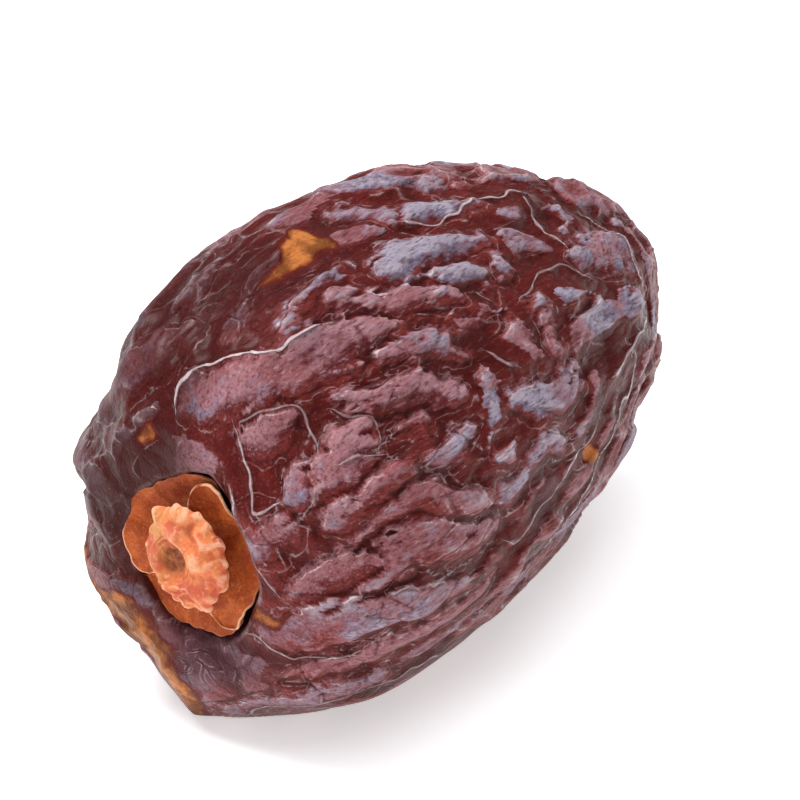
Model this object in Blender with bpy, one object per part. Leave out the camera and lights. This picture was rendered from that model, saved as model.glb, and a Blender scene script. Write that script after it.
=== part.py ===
"""Medjool date: one dried fruit lying on its side, with three dry petals and the calyx on its stem end.

+X runs from the stem end to the tip, +Z is up, and the fruit rests on z = 0. Sizes are in millimetres
and are turned into metres where points are set.
"""

import bmesh
import bpy
import numpy as np

MM = 0.001

# The plain fruit
LENGTH = 47.3
WIDTH = 27.8
HEIGHT = 30.5
WIDEST_X = 16.5          # where the fruit is widest, from the stem end
STEM_POWER = 3.2         # blunt shoulders: a superellipse of this power
TIP_POWER = 1.82
AXIS_HEIGHT = 13.5       # less than half of HEIGHT, which leaves a flat underside
BEND_FROM_X = 14.3       # from here on the fruit bends upward and a little sideways
TIP_RISE = 3.3
TIP_SIDESTEP = -2.2

# Lobes round the waist: how many, depth as a share of the radius, turn, and twist from end to end
LOBES = ((2, -0.05, 0.44, 0.0), (3, -0.045, -0.39, 1.26))
MIDDLE = (22.822, -0.454)  # the point of the floor below the middle of its box

RING_CROWDING = 0.6      # the rings of points lie closer at both ends
POINTS_ROUND = 128
RINGS = 46

# Corners round the shoulder: angle round the axis in degrees (0 is +Y, 90 is up), share of the radius
SHOULDER_CORNERS = (
    (-83, 1.08), (-28, 0.99), (8, 1.03), (58, 1.0), (104, 1.04), (150, 1.0), (187, 1.05), (229, 0.99),
)
SHOULDER_AT = 0.20
SHOULDER_SPREAD = 0.13
SHOULDER_STRENGTH = 0.95
SHOULDER_LEVEL = 0.985   # the share of the radius that the corners leave as it is

# The flat underside, and the three low spots on it that touch the surface: x and y from MIDDLE
UNDERSIDE_Z = 0.25
LOW_SPOTS = ((1.5, 3.4), (1.5, -3.0), (-11.8, 0.3))
LOW_SPOT_RADIUS = 1.8
LOW_SPOT_EDGE = 1.4

# How far the petals reach round the stem: angle in degrees and reach
PETAL_OUTLINE = (
    (-77, 5.0), (-50, 4.8), (-22, 4.35), (5, 4.8), (34, 5.1), (54, 4.65), (77, 4.9), (92, 5.5),
    (108, 5.8), (140, 5.3), (176, 4.8), (205, 4.65), (217, 4.9), (238, 5.25), (262, 4.9),
)

# The hollow round the stem, which holds the petals
HOLLOW_DEPTH = 1.9
HOLLOW_MARGIN = 0.45             # from the petals' reach to the foot of its wall
HOLLOW_STEP = 0.75               # share of the wall that is steep; above it the skin rises gently
WALL_FOOT = -0.1                 # where the wall starts and ends, from the margin
WALL_TOP = 0.6
SLOPE_TOP = 0.9
HOLLOW_SLOPE = 0.35              # how gently, beside the wall at the straight fold
FOLD_ANGLE = 149                 # a straight fold of skin crosses the hollow on this side
FOLD_DISTANCE = 5.05
RIM_HEIGHT = 0.35
RIM_WIDTH = 1.1

# The skin's relief: seed, count of creases, distance between them, width, length, turn in degrees.
# Near the tip and the stem, from and to the given places along, they turn more and get smaller.
BROAD_FOLDS = (11, 260, 8.0, 4.5, 9.0, 14)
FOLDS = (12, 900, 3.5, 2.2, 5.0, 16)
NEAR_TIP = (0.68, 0.95)
NEAR_STEM = (0.20, 0.08)
TURN_AT_ENDS = 4.0
NARROWER_AT_ENDS = 0.25
SHORTER_AT_ENDS = 0.5
DISTANCE_RANGE = (0.8, 1.3)
BROAD_HEIGHT = 0.45
FOLD_HEIGHT = 0.62
BROAD_SHARPNESS = 0.9
FLANK = (-0.75, -0.05)   # the heights of a crease between which a fold rises to its flat top
FLANK_SHARE = 0.7
LIP_HEIGHT = 0.12
LIP_AT = 0.1
LIP_SPREAD = 0.3
WANDER = ((0.9, 7.0, 1), (0.3, 2.6, 51))    # what bends the folds: amount, size and first seed of noises

# Flat-topped folds with a place of their own, on the side seen most: each is a line of
# (along the fruit from 0 at the stem end to 1 at the tip, angle in degrees, half width)
FOLD_TOPS = (
    ((0.17, 86, 1.2), (0.18, 100, 2), (0.21, 107, 1.2)),
    ((0.23, 112, 1), (0.27, 114, 1.6), (0.33, 116, 1.3), (0.38, 119, 0.6)),
    ((0.34, 124, 0.6), (0.37, 126, 1), (0.41, 129, 0.7), (0.43, 134, 0.4)),
    ((0.35, 107, 1), (0.38, 112, 0.7), (0.43, 116, 0.7), (0.47, 122, 0.5)),
    ((0.43, 106, 1), (0.47, 106, 1.2), (0.52, 108, 1.1), (0.58, 111, 0.5)),
    ((0.21, 25, 1), (0.18, 55, 1.4), (0.20, 68, 1.4), (0.23, 75, 0.6)),
    ((0.27, 127, 0.4), (0.30, 132, 0.7), (0.34, 137, 1.1), (0.38, 139, 1), (0.40, 143, 0.4)),
    ((0.31, 142, 0.4), (0.34, 144, 0.4)),
    ((0.32, 153, 0.5), (0.35, 154, 0.6), (0.39, 154, 0.5)),
    ((0.47, 154, 0.6), (0.51, 158, 1.2), (0.57, 158, 0.8)),
    ((0.16, 116, 1.1), (0.18, 119, 1.2), (0.20, 122, 0.7)),
    ((0.18, 147, 0.6), (0.21, 143, 1), (0.24, 140, 1.2), (0.27, 138, 0.8)),
    ((0.19, 156, 0.7), (0.22, 153, 0.8), (0.26, 152, 0.6), (0.29, 152, 0.2)),
    ((0.21, 166, 0.5), (0.25, 162, 0.7), (0.29, 161, 0.7), (0.32, 166, 0.8), (0.37, 173, 0.6)),
    ((0.21, 178, 0.7), (0.25, 173, 1.3), (0.29, 173, 1.3), (0.33, 177, 1), (0.38, 180, 0.6)),
    ((0.14, 178, 0.7), (0.18, 173, 1), (0.21, 171, 0.6)),
    ((0.13, 202, 1.4), (0.16, 193, 1.8), (0.20, 188, 1.6), (0.25, 186, 1.2), (0.33, 188, 0.7)),
    ((0.16, 222, 0.6), (0.20, 210, 1), (0.25, 203, 1.1), (0.31, 199, 1), (0.38, 195, 0.6)),
    ((0.07, 156, 1), (0.13, 154, 1)),
    ((0.46, 168, 0.6), (0.52, 171, 0.6)),
    ((0.69, 131, 0.7), (0.77, 134, 1.4), (0.81, 140, 1)),
    ((0.47, 83, 0.6), (0.50, 86, 1.1), (0.51, 91, 0.6)),
    ((0.53, 95, 0.6), (0.57, 96, 0.7), (0.62, 97, 0.5)),
    ((0.57, 119, 0.5), (0.57, 124, 0.5)),
    ((0.27, 102, 0.4), (0.32, 101, 0.6), (0.37, 99, 0.5)),
    ((0.20, 262, 0.6), (0.19, 240, 0.7), (0.21, 225, 0.8), (0.26, 216, 0.6)),
    ((0.18, 136, 0.6), (0.16, 142, 0.8)),
    ((0.41, 172, 0.8), (0.45, 172, 0.5)),
    ((0.48, 114, 0.6), (0.52, 119, 0.7), (0.53, 124, 0.5)),
    ((0.57, 136, 0.6), (0.58, 142, 0.8), (0.57, 147, 0.6)),
)

# Thin crests on the same side: lines of (along, angle)
CRESTS = (
    ((0.15, 80), (0.17, 81), (0.20, 87), (0.22, 96), (0.23, 104), (0.27, 106), (0.32, 108)),
    ((0.51, 93), (0.54, 99), (0.58, 99), (0.64, 96), (0.73, 100)),
    ((0.70, 98), (0.69, 109), (0.68, 118), (0.69, 126)),
    ((0.77, 112), (0.79, 122), (0.80, 136), (0.79, 154)),
    ((0.55, 132), (0.59, 130), (0.65, 132), (0.71, 142)),
    ((0.39, 184), (0.45, 185), (0.49, 182), (0.53, 180), (0.58, 177), (0.62, 168)),
    ((0.46, 198), (0.51, 198), (0.56, 195), (0.60, 191), (0.65, 184), (0.70, 174), (0.70, 160)),
    ((0.16, 109), (0.18, 111), (0.20, 115), (0.22, 121), (0.22, 128), (0.21, 134)),
    ((0.25, 126), (0.27, 132), (0.28, 135), (0.28, 140), (0.26, 144)),
    ((0.10, 220), (0.12, 213), (0.15, 214), (0.17, 209), (0.24, 198)),
    ((0.21, 182), (0.24, 181), (0.29, 182), (0.32, 182)),
    ((0.21, 268), (0.20, 250), (0.20, 230), (0.25, 221), (0.32, 219), (0.40, 221)),
    ((0.47, 137), (0.48, 143), (0.50, 148)),
    ((0.15, 151), (0.17, 148), (0.18, 144)),
    ((0.64, 165), (0.71, 164), (0.80, 166)),
    ((0.12, 71), (0.10, 55), (0.09, 51)),
    ((0.22, 141), (0.25, 142), (0.28, 145)),
    ((0.163, 107), (0.136, 121), (0.117, 135), (0.13, 139), (0.15, 139)),
    ((0.115, 117), (0.097, 130), (0.094, 149), (0.098, 168), (0.112, 182)),
)
PLACED_HEIGHT = 0.55
PLACED_DEPTH = 0.32
PLACED_EDGE = 0.2
PLACED_EDGE_AT = 0.1
PLACED_LIP = 0.16
PLACED_LIP_AT = 0.35
PLACED_LIP_SPREAD = 0.3
BROAD_ON_PLACED = 0.12
FOLDS_ON_PLACED = 0.1
CREST_HEIGHT = 0.55
CREST_WIDTH = 0.36
CREST_END = 0.12         # share of its length over which a crest fades out
PLACED_REACH = (0.7, 1.9)  # from the nearer to the farther distance the other folds take over
PLACED_WANDER = ((0.5, 2.4, 71), (0.2, 1.1, 74))

# Where the skin is calm: in the hollow and for some way past it, and underneath
CALM_PAST = (0.1, 1.3)
CALMER_PAST = (1.5, 8.0)
CALM_HEIGHT = (2.0, 6.5)
CALM_SHARE = 0.12

# Petals: from and to angle in degrees, and how far each side is lifted over its neighbour
PETALS = {
    "petal_1": (92, 240, 1, 1),
    "petal_2": (-35, 119, 1, 0),
    "petal_3": (212, 346, 0, 0),
}
PETAL_ROOT = 2.5
PETAL_THICKNESS = 0.45
GAP = 0.3
PETAL_LAP = 27           # degrees by which neighbours overlap
PETAL_RISE = (22, 3)     # degrees past the overlap between which a side comes up
PETAL_PLAY = 0.05        # more than the gap between petals that lie on each other
PETAL_FLOOR_PLAY = 0.1   # and between them and the hollow's floor
PETAL_CORNER = 0.5       # how much shorter its two corners are, and over how many degrees
PETAL_CORNER_SPAN = 9
PETAL_STEPS = (18, 5)
RIPPLE = 0.08
RIPPLES = 7
RIPPLE_TURN = 3
FOLD_CLEARANCE = 0.5     # from the petals to the straight fold

# The calyx: a crumpled collar on a short stalk, with the scar of the stem in the middle
CALYX_STEPS = (44, 26)
CALYX_REACH = 3.5
STALK_TOP = (1.4, 1.9)           # heights between which it shifts sideways
COLLAR_FOOT = (1.7, 2.15)        # and between which it starts to wave
CALYX_FRILL = ((3, 0.07, 0.5), (5, 0.05, 2.0), (11, 0.03, 0.0))
CALYX_WAVE = ((2, 0.22, 1.0), (5, 0.14, 0.0))
CALYX_LEAN = (-0.68, 0.91)       # sideways and upward shift of the collar from the fruit's axis
CALYX_STRETCH = (0.95, 1.08)     # the collar is a little narrow and tall
CALYX_PROFILE = (
    (0.0, 0.0), (1.5, 0.0), (1.75, 0.2), (1.8, 1.55), (2.5, 1.88), (3.1, 1.98), (3.3, 2.25),
    (3.0, 2.65), (2.4, 2.95), (1.7, 3.1), (1.15, 2.95), (0.85, 2.5), (0.7, 2.25), (0.0, 2.15),
)


def superellipse_meridian(count):
    """Share of the skin's length, place along the axis and share of the radius, from stem end to tip."""
    turn = np.linspace(0, np.pi, count)
    power = np.where(turn < np.pi / 2, STEM_POWER, TIP_POWER)
    reach = np.where(turn < np.pi / 2, WIDEST_X, LENGTH - WIDEST_X)
    along = WIDEST_X - np.sign(np.cos(turn)) * reach * np.abs(np.cos(turn)) ** (2 / power)
    share = np.abs(np.sin(turn)) ** (2 / power)
    steps = np.hypot(np.diff(along), np.diff(share * WIDTH / 2))
    run = np.concatenate([[0], np.cumsum(steps)])
    return run / run[-1], along, share


MERIDIAN_POINTS = 2000
MERIDIAN = superellipse_meridian(MERIDIAN_POINTS)


def smooth(start, end, value):
    t = np.clip((value - start) / (end - start), 0, 1)
    return t * t * (3 - 2 * t)


def bump(value, centre, spread):
    return np.exp(-(((value - centre) / spread) ** 2))


def angle_from(angle, degrees):
    """Signed angle from a direction, in degrees."""
    return (np.degrees(angle) - degrees + 180) % 360 - 180


def shoulder_share(angle):
    """Radius of the polygon through the shoulder's corners."""
    corner_angles = np.radians([corner[0] for corner in SHOULDER_CORNERS])
    shares = [corner[1] for corner in SHOULDER_CORNERS]
    result = np.ones_like(angle)
    for i, first in enumerate(corner_angles):
        j = (i + 1) % len(shares)
        span = (corner_angles[j] - first) % (2 * np.pi)
        past = (angle - first) % (2 * np.pi)
        across = shares[i] * np.sin(past) + shares[j] * np.sin(span - past)
        edge = shares[i] * shares[j] * np.sin(span) / across
        result = np.where(past < span, edge, result)
    return result


def petal_reach(angle):
    angles, reaches = np.array(PETAL_OUTLINE).T
    return np.interp(np.degrees(angle), angles, reaches, period=360)


def hollow(radius, angle):
    """Depth of the hollow, less than nothing on its rim, and how far past its flat floor a place is."""
    past_edge = radius - petal_reach(angle) - HOLLOW_MARGIN
    past_fold = radius * np.cos(np.radians(angle_from(angle, FOLD_ANGLE))) - FOLD_DISTANCE
    past = np.maximum(past_edge, past_fold)
    slope = np.maximum(past_edge * HOLLOW_SLOPE, past_fold)
    floor = HOLLOW_STEP * smooth(WALL_TOP, WALL_FOOT, past)
    floor += (1 - HOLLOW_STEP) * smooth(SLOPE_TOP, WALL_FOOT, slope)
    return HOLLOW_DEPTH * floor - RIM_HEIGHT * bump(slope, RIM_WIDTH, RIM_WIDTH), past


def plain_fruit(along, angle):
    """Points of the fruit before its skin wrinkled; along is 0 at the stem end and 1 at the tip."""
    x = np.interp(along, MERIDIAN[0], MERIDIAN[1])
    share = np.interp(along, MERIDIAN[0], MERIDIAN[2])
    radius = share * WIDTH / 2
    at_shoulder = SHOULDER_STRENGTH * bump(along, SHOULDER_AT, SHOULDER_SPREAD)
    corners = 1 + at_shoulder * (shoulder_share(angle) - SHOULDER_LEVEL)
    waist = np.sin(np.pi * along)
    lobes = np.ones_like(angle)
    for count, depth, turn, twist in LOBES:
        lobes = lobes + waist * depth * np.cos(count * angle + turn + twist * along)
    y = radius * np.cos(angle) * corners * lobes
    z = radius * HEIGHT / WIDTH * np.sin(angle) * corners * lobes
    x = x + np.where(x < WIDEST_X, hollow(radius, angle)[0], 0)
    bend = np.clip((x - BEND_FROM_X) / LENGTH, 0, 1) ** 2
    return np.stack([x, y + TIP_SIDESTEP * bend, z + AXIS_HEIGHT + TIP_RISE * bend], -1)


def directions(along, angle):
    """Unit vectors on the plain fruit: towards the tip, round the axis, and out of the skin."""
    step = 0.002
    along = np.clip(along, 3 * step, 1 - 3 * step)
    down = plain_fruit(along + step, angle) - plain_fruit(along - step, angle)
    around = plain_fruit(along, angle + 4 * step) - plain_fruit(along, angle - 4 * step)
    down /= np.linalg.norm(down, axis=-1, keepdims=True)
    around /= np.linalg.norm(around, axis=-1, keepdims=True)
    out = np.cross(around, down)
    return down, around, out / np.linalg.norm(out, axis=-1, keepdims=True)


def cloud(points, seed, size):
    """Smooth noise between -1 and 1, with lumps of the given size."""
    table = np.random.default_rng(seed).uniform(-1, 1, (32, 32, 32))
    cell = np.floor(points / size).astype(int)
    t = points / size - cell
    t = t * t * t * (t * (6 * t - 15) + 10)
    total = np.zeros(points.shape[:-1])
    for corner in np.ndindex(2, 2, 2):
        weight = np.prod(np.where(corner, t, 1 - t), axis=-1)
        x, y, z = ((cell[..., i] + corner[i]) % 32 for i in range(3))
        total += weight * table[x, y, z]
    return total


def creases(points, seed, count, distance, width, length, turn):
    """Waves in short strokes that run from stem to tip, more turned and shorter at both ends."""
    rng = np.random.default_rng(seed)
    area = np.cumsum(np.append(0, np.diff(MERIDIAN[0])) * (MERIDIAN[2] + 0.02))
    along = np.interp(rng.random(count), area / area[-1], MERIDIAN[0])
    angle = rng.random(count) * 2 * np.pi
    centre = plain_fruit(along, angle)
    down, around, out = directions(along, angle)
    at_ends = np.clip(smooth(*NEAR_TIP, along) + smooth(*NEAR_STEM, along), 0, 1)
    twist = rng.normal(0, 1, count) * np.radians(turn * (1 + (TURN_AT_ENDS - 1) * at_ends))
    across = around * np.cos(twist)[:, None] + down * np.sin(twist)[:, None]
    lengthways = down * np.cos(twist)[:, None] - around * np.sin(twist)[:, None]
    pitch = 2 * np.pi / (distance * rng.uniform(*DISTANCE_RANGE, count))
    phase = rng.random(count) * 2 * np.pi
    widths = width * (1 - NARROWER_AT_ENDS * at_ends)
    lengths = length * (1 - SHORTER_AT_ENDS * at_ends)
    total = np.zeros(points.shape[:-1])
    power = np.full(points.shape[:-1], 1e-6)
    for i in range(count):
        offset = points - centre[i]
        a = offset @ across[i]
        b = offset @ lengthways[i]
        c = offset @ out[i]
        reach = np.exp(-0.5 * ((a / widths[i]) ** 2 + (b / lengths[i]) ** 2 + (c / widths[i]) ** 2))
        total += reach * np.cos(pitch[i] * a + phase[i])
        power += reach * reach
    return total / np.sqrt(power * 0.5)


def warped(points, out, *noises):
    """Points pushed about along the skin by noises, each given as amount, size and first seed."""
    push = np.zeros_like(points)
    for amount, size, seed in noises:
        push += amount * np.stack([cloud(points, seed + i, size) for i in range(3)], -1)
    return points + push - out * (push * out).sum(-1, keepdims=True)


def curve(line, steps=7):
    """Places along a smooth line through the given ones."""
    given = np.array(line, float)
    given = np.vstack([2 * given[0] - given[1], given, 2 * given[-1] - given[-2]])
    t = np.linspace(0, 1, steps, endpoint=False)[:, None]
    spans = []
    for a, b, c, d in zip(given[:-3], given[1:-2], given[2:-1], given[3:]):
        bow = (2 * a - 5 * b + 4 * c - d) * t ** 2 + (3 * b - a - 3 * c + d) * t ** 3
        spans.append(b + 0.5 * ((c - a) * t + bow))
    return np.vstack([*spans, given[-2]])


def distance_to_line(points, line):
    """Which points are near a line on the skin, how far past its half width, and where along it."""
    places = curve(line)
    width = places[:, 2] if places.shape[1] > 2 else np.zeros(len(places))
    places = plain_fruit(places[:, 0], np.radians(places[:, 1]))
    middle = places.mean(0)
    size = np.linalg.norm(places - middle, axis=1).max() + width.max() + PLACED_REACH[1]
    near = np.flatnonzero(((points - middle) ** 2).sum(-1) < size ** 2)
    distance = np.full(len(near), size)
    share = np.zeros(len(near))
    for i, start in enumerate(places[:-1]):
        run = places[i + 1] - start
        t = np.clip((points[near] - start) @ run / (run @ run), 0, 1)
        gap = np.linalg.norm(points[near] - start - t[:, None] * run, axis=1)
        gap -= width[i] + t * (width[i + 1] - width[i])
        share = np.where(gap < distance, (i + t) / (len(places) - 1), share)
        distance = np.minimum(distance, gap)
    return near, distance, share


def placed_folds(points):
    """Distance inside the placed folds, share of a crest's height, and distance to the nearest."""
    inside = np.full(len(points), -PLACED_REACH[1])
    crest = np.zeros(len(points))
    nearest = np.full(len(points), PLACED_REACH[1])
    for line in FOLD_TOPS + CRESTS:
        near, distance, share = distance_to_line(points, line)
        nearest[near] = np.minimum(nearest[near], distance)
        if line in FOLD_TOPS:
            inside[near] = np.maximum(inside[near], -distance)
        else:
            ends = smooth(0, CREST_END, share) * smooth(1, 1 - CREST_END, share)
            height = ends * bump(distance, 0, CREST_WIDTH)
            crest[near] = np.maximum(crest[near], height)
    return inside, crest, nearest


def relief(points, out, along, angle):
    """Height of the wrinkled skin over the plain fruit: flat-topped folds with raised lips."""
    moved = warped(points, out, *WANDER)
    broad = creases(moved, *BROAD_FOLDS)
    folds = creases(moved, *FOLDS)
    height = BROAD_HEIGHT * np.tanh(BROAD_SHARPNESS * broad)
    height += FOLD_HEIGHT * (smooth(*FLANK, folds) - FLANK_SHARE)
    height += LIP_HEIGHT * bump(folds, LIP_AT, LIP_SPREAD)
    inside, crest, nearest = placed_folds(warped(points, out, *PLACED_WANDER))
    raised = smooth(PLACED_EDGE_AT - PLACED_EDGE, PLACED_EDGE_AT + PLACED_EDGE, inside)
    placed = PLACED_HEIGHT * raised - PLACED_DEPTH
    placed += PLACED_LIP * bump(inside, PLACED_LIP_AT, PLACED_LIP_SPREAD) + CREST_HEIGHT * crest
    placed += BROAD_ON_PLACED * np.tanh(broad) + FOLDS_ON_PLACED * np.tanh(folds)
    height += smooth(PLACED_REACH[1], PLACED_REACH[0], nearest) * (placed - height)
    radius = np.interp(along, MERIDIAN[0], MERIDIAN[2]) * WIDTH / 2
    past = np.where(along < 0.5, hollow(radius, angle)[1], LENGTH)
    near_stem = smooth(*CALM_PAST, past) * (1 + smooth(*CALMER_PAST, past)) / 2
    underneath = CALM_SHARE + (1 - CALM_SHARE) * smooth(*CALM_HEIGHT, points[..., 2])
    return height * near_stem * underneath


def underside(points):
    """Height of the flattened underside: nothing on its low spots."""
    level = np.full(points.shape[:-1], UNDERSIDE_Z)
    for x, y in LOW_SPOTS:
        away = np.hypot(points[..., 0] - MIDDLE[0] - x, points[..., 1] - MIDDLE[1] - y)
        slope = smooth(LOW_SPOT_RADIUS, LOW_SPOT_RADIUS + LOW_SPOT_EDGE, away)
        level = np.minimum(level, UNDERSIDE_Z * slope)
    return level


def skin(along, angle):
    points = plain_fruit(along, angle)
    out = directions(along, angle)[2]
    points = points + out * relief(points, out, along, angle)[..., None]
    points[..., 2] = np.maximum(points[..., 2], underside(points))
    return points


def material(name, colour, roughness, coat=0.0):
    mat = bpy.data.materials.new(name)
    mat.use_nodes = True
    shader = mat.node_tree.nodes["Principled BSDF"]
    shader.inputs["Base Color"].default_value = (*colour, 1)
    shader.inputs["Roughness"].default_value = roughness
    shader.inputs["Coat Weight"].default_value = coat
    mat.diffuse_color = (*colour, 1)
    return mat


def add_piece(name, bm, collection, mat):
    """Turn a bmesh whose points are in millimetres into a named object in its place."""
    bmesh.ops.translate(bm, verts=bm.verts, vec=(-MIDDLE[0], -MIDDLE[1], 0))
    bmesh.ops.scale(bm, verts=bm.verts, vec=(MM, MM, MM))
    bmesh.ops.recalc_face_normals(bm, faces=bm.faces)
    mesh = bpy.data.meshes.new(name)
    bm.to_mesh(mesh)
    bm.free()
    mesh.shade_smooth()
    mesh.materials.append(mat)
    piece = bpy.data.objects.new(name, mesh)
    collection.objects.link(piece)
    return piece


def set_points(bm, points):
    for vert, point in zip(bm.verts, points):
        vert.co = point


def make_fruit(collection):
    bm = bmesh.new()
    bmesh.ops.create_uvsphere(bm, u_segments=POINTS_ROUND, v_segments=RINGS, radius=1)
    ball = np.array([vert.co for vert in bm.verts])
    even = np.arccos(np.clip(ball[:, 2], -1, 1)) / np.pi
    along = even - RING_CROWDING * np.sin(2 * np.pi * even) / (2 * np.pi)
    set_points(bm, skin(along, np.arctan2(ball[:, 1], ball[:, 0])))
    bmesh.ops.triangulate(bm, faces=bm.faces)
    return add_piece("fruit", bm, collection, material("skin", (0.12, 0.03, 0.03), 0.35, 0.4))


def make_petal(name, collection, mat):
    """A thin dry petal on the floor of the hollow; a lifted side lies over the next petal."""
    start, end, lift_start, lift_end = PETALS[name]
    bm = bmesh.new()
    bmesh.ops.create_grid(bm, x_segments=PETAL_STEPS[0], y_segments=PETAL_STEPS[1], size=0.5)
    flat = np.array([vert.co for vert in bm.verts]) + 0.5
    angle = np.radians(start + (end - start) * flat[:, 0])
    from_start = np.degrees(angle) - start
    from_end = end - np.degrees(angle)
    lift = lift_start * smooth(PETAL_LAP + PETAL_RISE[0], PETAL_LAP + PETAL_RISE[1], from_start)
    lift += lift_end * smooth(PETAL_LAP + PETAL_RISE[0], PETAL_LAP + PETAL_RISE[1], from_end)
    corner = smooth(PETAL_CORNER_SPAN, 0, np.minimum(from_start, from_end))
    outline = petal_reach(angle) - PETAL_CORNER * corner
    to_fold = np.cos(np.radians(angle_from(angle, FOLD_ANGLE)))
    to_fold = np.maximum(to_fold, 0.01)
    outline = np.minimum(outline, (FOLD_DISTANCE - FOLD_CLEARANCE) / to_fold)
    radius = PETAL_ROOT + (outline - PETAL_ROOT) * flat[:, 1]
    ripple = RIPPLE * np.sin(RIPPLES * angle + RIPPLE_TURN * flat[:, 1]) * flat[:, 1] ** 2
    rest = HOLLOW_DEPTH - GAP - PETAL_FLOOR_PLAY + np.minimum(ripple, 0)
    rest -= lift * (PETAL_THICKNESS + GAP + PETAL_PLAY)
    height = radius * np.sin(angle) + AXIS_HEIGHT
    set_points(bm, np.stack([rest, radius * np.cos(angle), height], -1))
    bmesh.ops.recalc_face_normals(bm, faces=bm.faces)
    if sum(face.normal.x for face in bm.faces) > 0:
        bmesh.ops.reverse_faces(bm, faces=bm.faces)
    bmesh.ops.solidify(bm, geom=bm.faces, thickness=-PETAL_THICKNESS)
    bmesh.ops.triangulate(bm, faces=bm.faces)
    return add_piece(name, bm, collection, mat)


def make_calyx(collection):
    """A turned profile, crumpled round the axis, that stands on the floor of the hollow."""
    bm = bmesh.new()
    bmesh.ops.create_uvsphere(bm, u_segments=CALYX_STEPS[0], v_segments=CALYX_STEPS[1], radius=1)
    ball = np.array([vert.co for vert in bm.verts])
    share = np.arccos(np.clip(ball[:, 2], -1, 1)) / np.pi
    angle = np.arctan2(ball[:, 1], ball[:, 0])
    profile = np.array(CALYX_PROFILE)
    run = np.concatenate([[0], np.cumsum(np.hypot(*np.diff(profile, axis=0).T))])
    radius = np.interp(share, run / run[-1], profile[:, 0])
    height = np.interp(share, run / run[-1], profile[:, 1])
    collar = smooth(*COLLAR_FOOT, height)
    frill = sum(depth * np.cos(count * angle + turn) for count, depth, turn in CALYX_FRILL)
    wave = sum(depth * np.cos(count * angle + turn) for count, depth, turn in CALYX_WAVE)
    radius = radius * (1 + collar * frill)
    height = height + collar * wave * radius / CALYX_REACH
    lean = smooth(*STALK_TOP, height)
    y = radius * CALYX_STRETCH[0] * np.cos(angle) + lean * CALYX_LEAN[0]
    z = radius * CALYX_STRETCH[1] * np.sin(angle) + lean * CALYX_LEAN[1] + AXIS_HEIGHT
    set_points(bm, np.stack([HOLLOW_DEPTH - GAP - height, y, z], -1))
    bmesh.ops.triangulate(bm, faces=bm.faces)
    return add_piece("calyx", bm, collection, material("calyx", (0.72, 0.25, 0.09), 0.6))


def main():
    for old in list(bpy.data.objects):
        bpy.data.objects.remove(old)
    collection = bpy.data.collections.new("medjool_date")
    bpy.context.scene.collection.children.link(collection)
    make_fruit(collection)
    petal_material = material("petal", (0.5, 0.13, 0.03), 0.55)
    for name in PETALS:
        make_petal(name, collection, petal_material)
    make_calyx(collection)


main()
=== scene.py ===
"""The looks of a medjool date: its wrinkled skin, three dry petals and the crumpled calyx.

The model's numbers are in millimetres and are turned into metres when a piece is finished.
"""

import math

import bmesh
import bpy
import numpy as np
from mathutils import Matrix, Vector
from mathutils.kdtree import KDTree


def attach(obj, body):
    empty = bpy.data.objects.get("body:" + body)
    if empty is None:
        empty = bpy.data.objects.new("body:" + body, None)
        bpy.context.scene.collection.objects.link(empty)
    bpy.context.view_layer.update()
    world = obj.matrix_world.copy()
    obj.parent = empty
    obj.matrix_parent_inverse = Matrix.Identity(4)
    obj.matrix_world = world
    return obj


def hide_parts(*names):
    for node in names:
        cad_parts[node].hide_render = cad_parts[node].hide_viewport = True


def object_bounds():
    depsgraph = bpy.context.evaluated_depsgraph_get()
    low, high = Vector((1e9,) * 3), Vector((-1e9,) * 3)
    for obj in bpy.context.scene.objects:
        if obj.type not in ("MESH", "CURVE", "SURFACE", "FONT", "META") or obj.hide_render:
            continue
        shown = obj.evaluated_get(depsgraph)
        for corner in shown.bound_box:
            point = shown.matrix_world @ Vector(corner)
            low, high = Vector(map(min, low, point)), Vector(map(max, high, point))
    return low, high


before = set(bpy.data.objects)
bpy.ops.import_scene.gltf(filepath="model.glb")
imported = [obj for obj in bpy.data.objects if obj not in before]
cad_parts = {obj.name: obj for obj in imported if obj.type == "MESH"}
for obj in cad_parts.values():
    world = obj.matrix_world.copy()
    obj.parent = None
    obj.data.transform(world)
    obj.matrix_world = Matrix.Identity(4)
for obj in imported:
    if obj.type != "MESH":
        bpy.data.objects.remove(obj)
cad_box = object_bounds()

MM = 0.001

# The fruit's plain form, as in the model
LENGTH = 47.3
WIDTH = 27.8
HEIGHT = 30.5
WIDEST_X = 16.5          # where the fruit is widest, from the stem end
STEM_POWER = 3.2         # blunt shoulders: a superellipse of this power
TIP_POWER = 1.82
AXIS_HEIGHT = 13.5       # less than half of HEIGHT, which leaves a flat underside
BEND_FROM_X = 14.3       # from here on the fruit bends upward and a little sideways
TIP_RISE = 3.3
TIP_SIDESTEP = -2.2

# Lobes round the waist: how many, depth as a share of the radius, turn, and twist from end to end
LOBES = ((2, -0.05, 0.44, 0.0), (3, -0.045, -0.39, 1.26))
MIDDLE = (22.822, -0.454)  # the point of the floor below the middle of its box

# Corners round the shoulder: angle round the axis in degrees (0 is +Y, 90 is up), share of the radius
SHOULDER_CORNERS = (
    (-83, 1.08), (-28, 0.99), (8, 1.03), (58, 1.0), (104, 1.04), (150, 1.0), (187, 1.05), (229, 0.99),
)
SHOULDER_AT = 0.20
SHOULDER_SPREAD = 0.13
SHOULDER_STRENGTH = 0.95
SHOULDER_LEVEL = 0.985   # the share of the radius that the corners leave as it is

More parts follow.
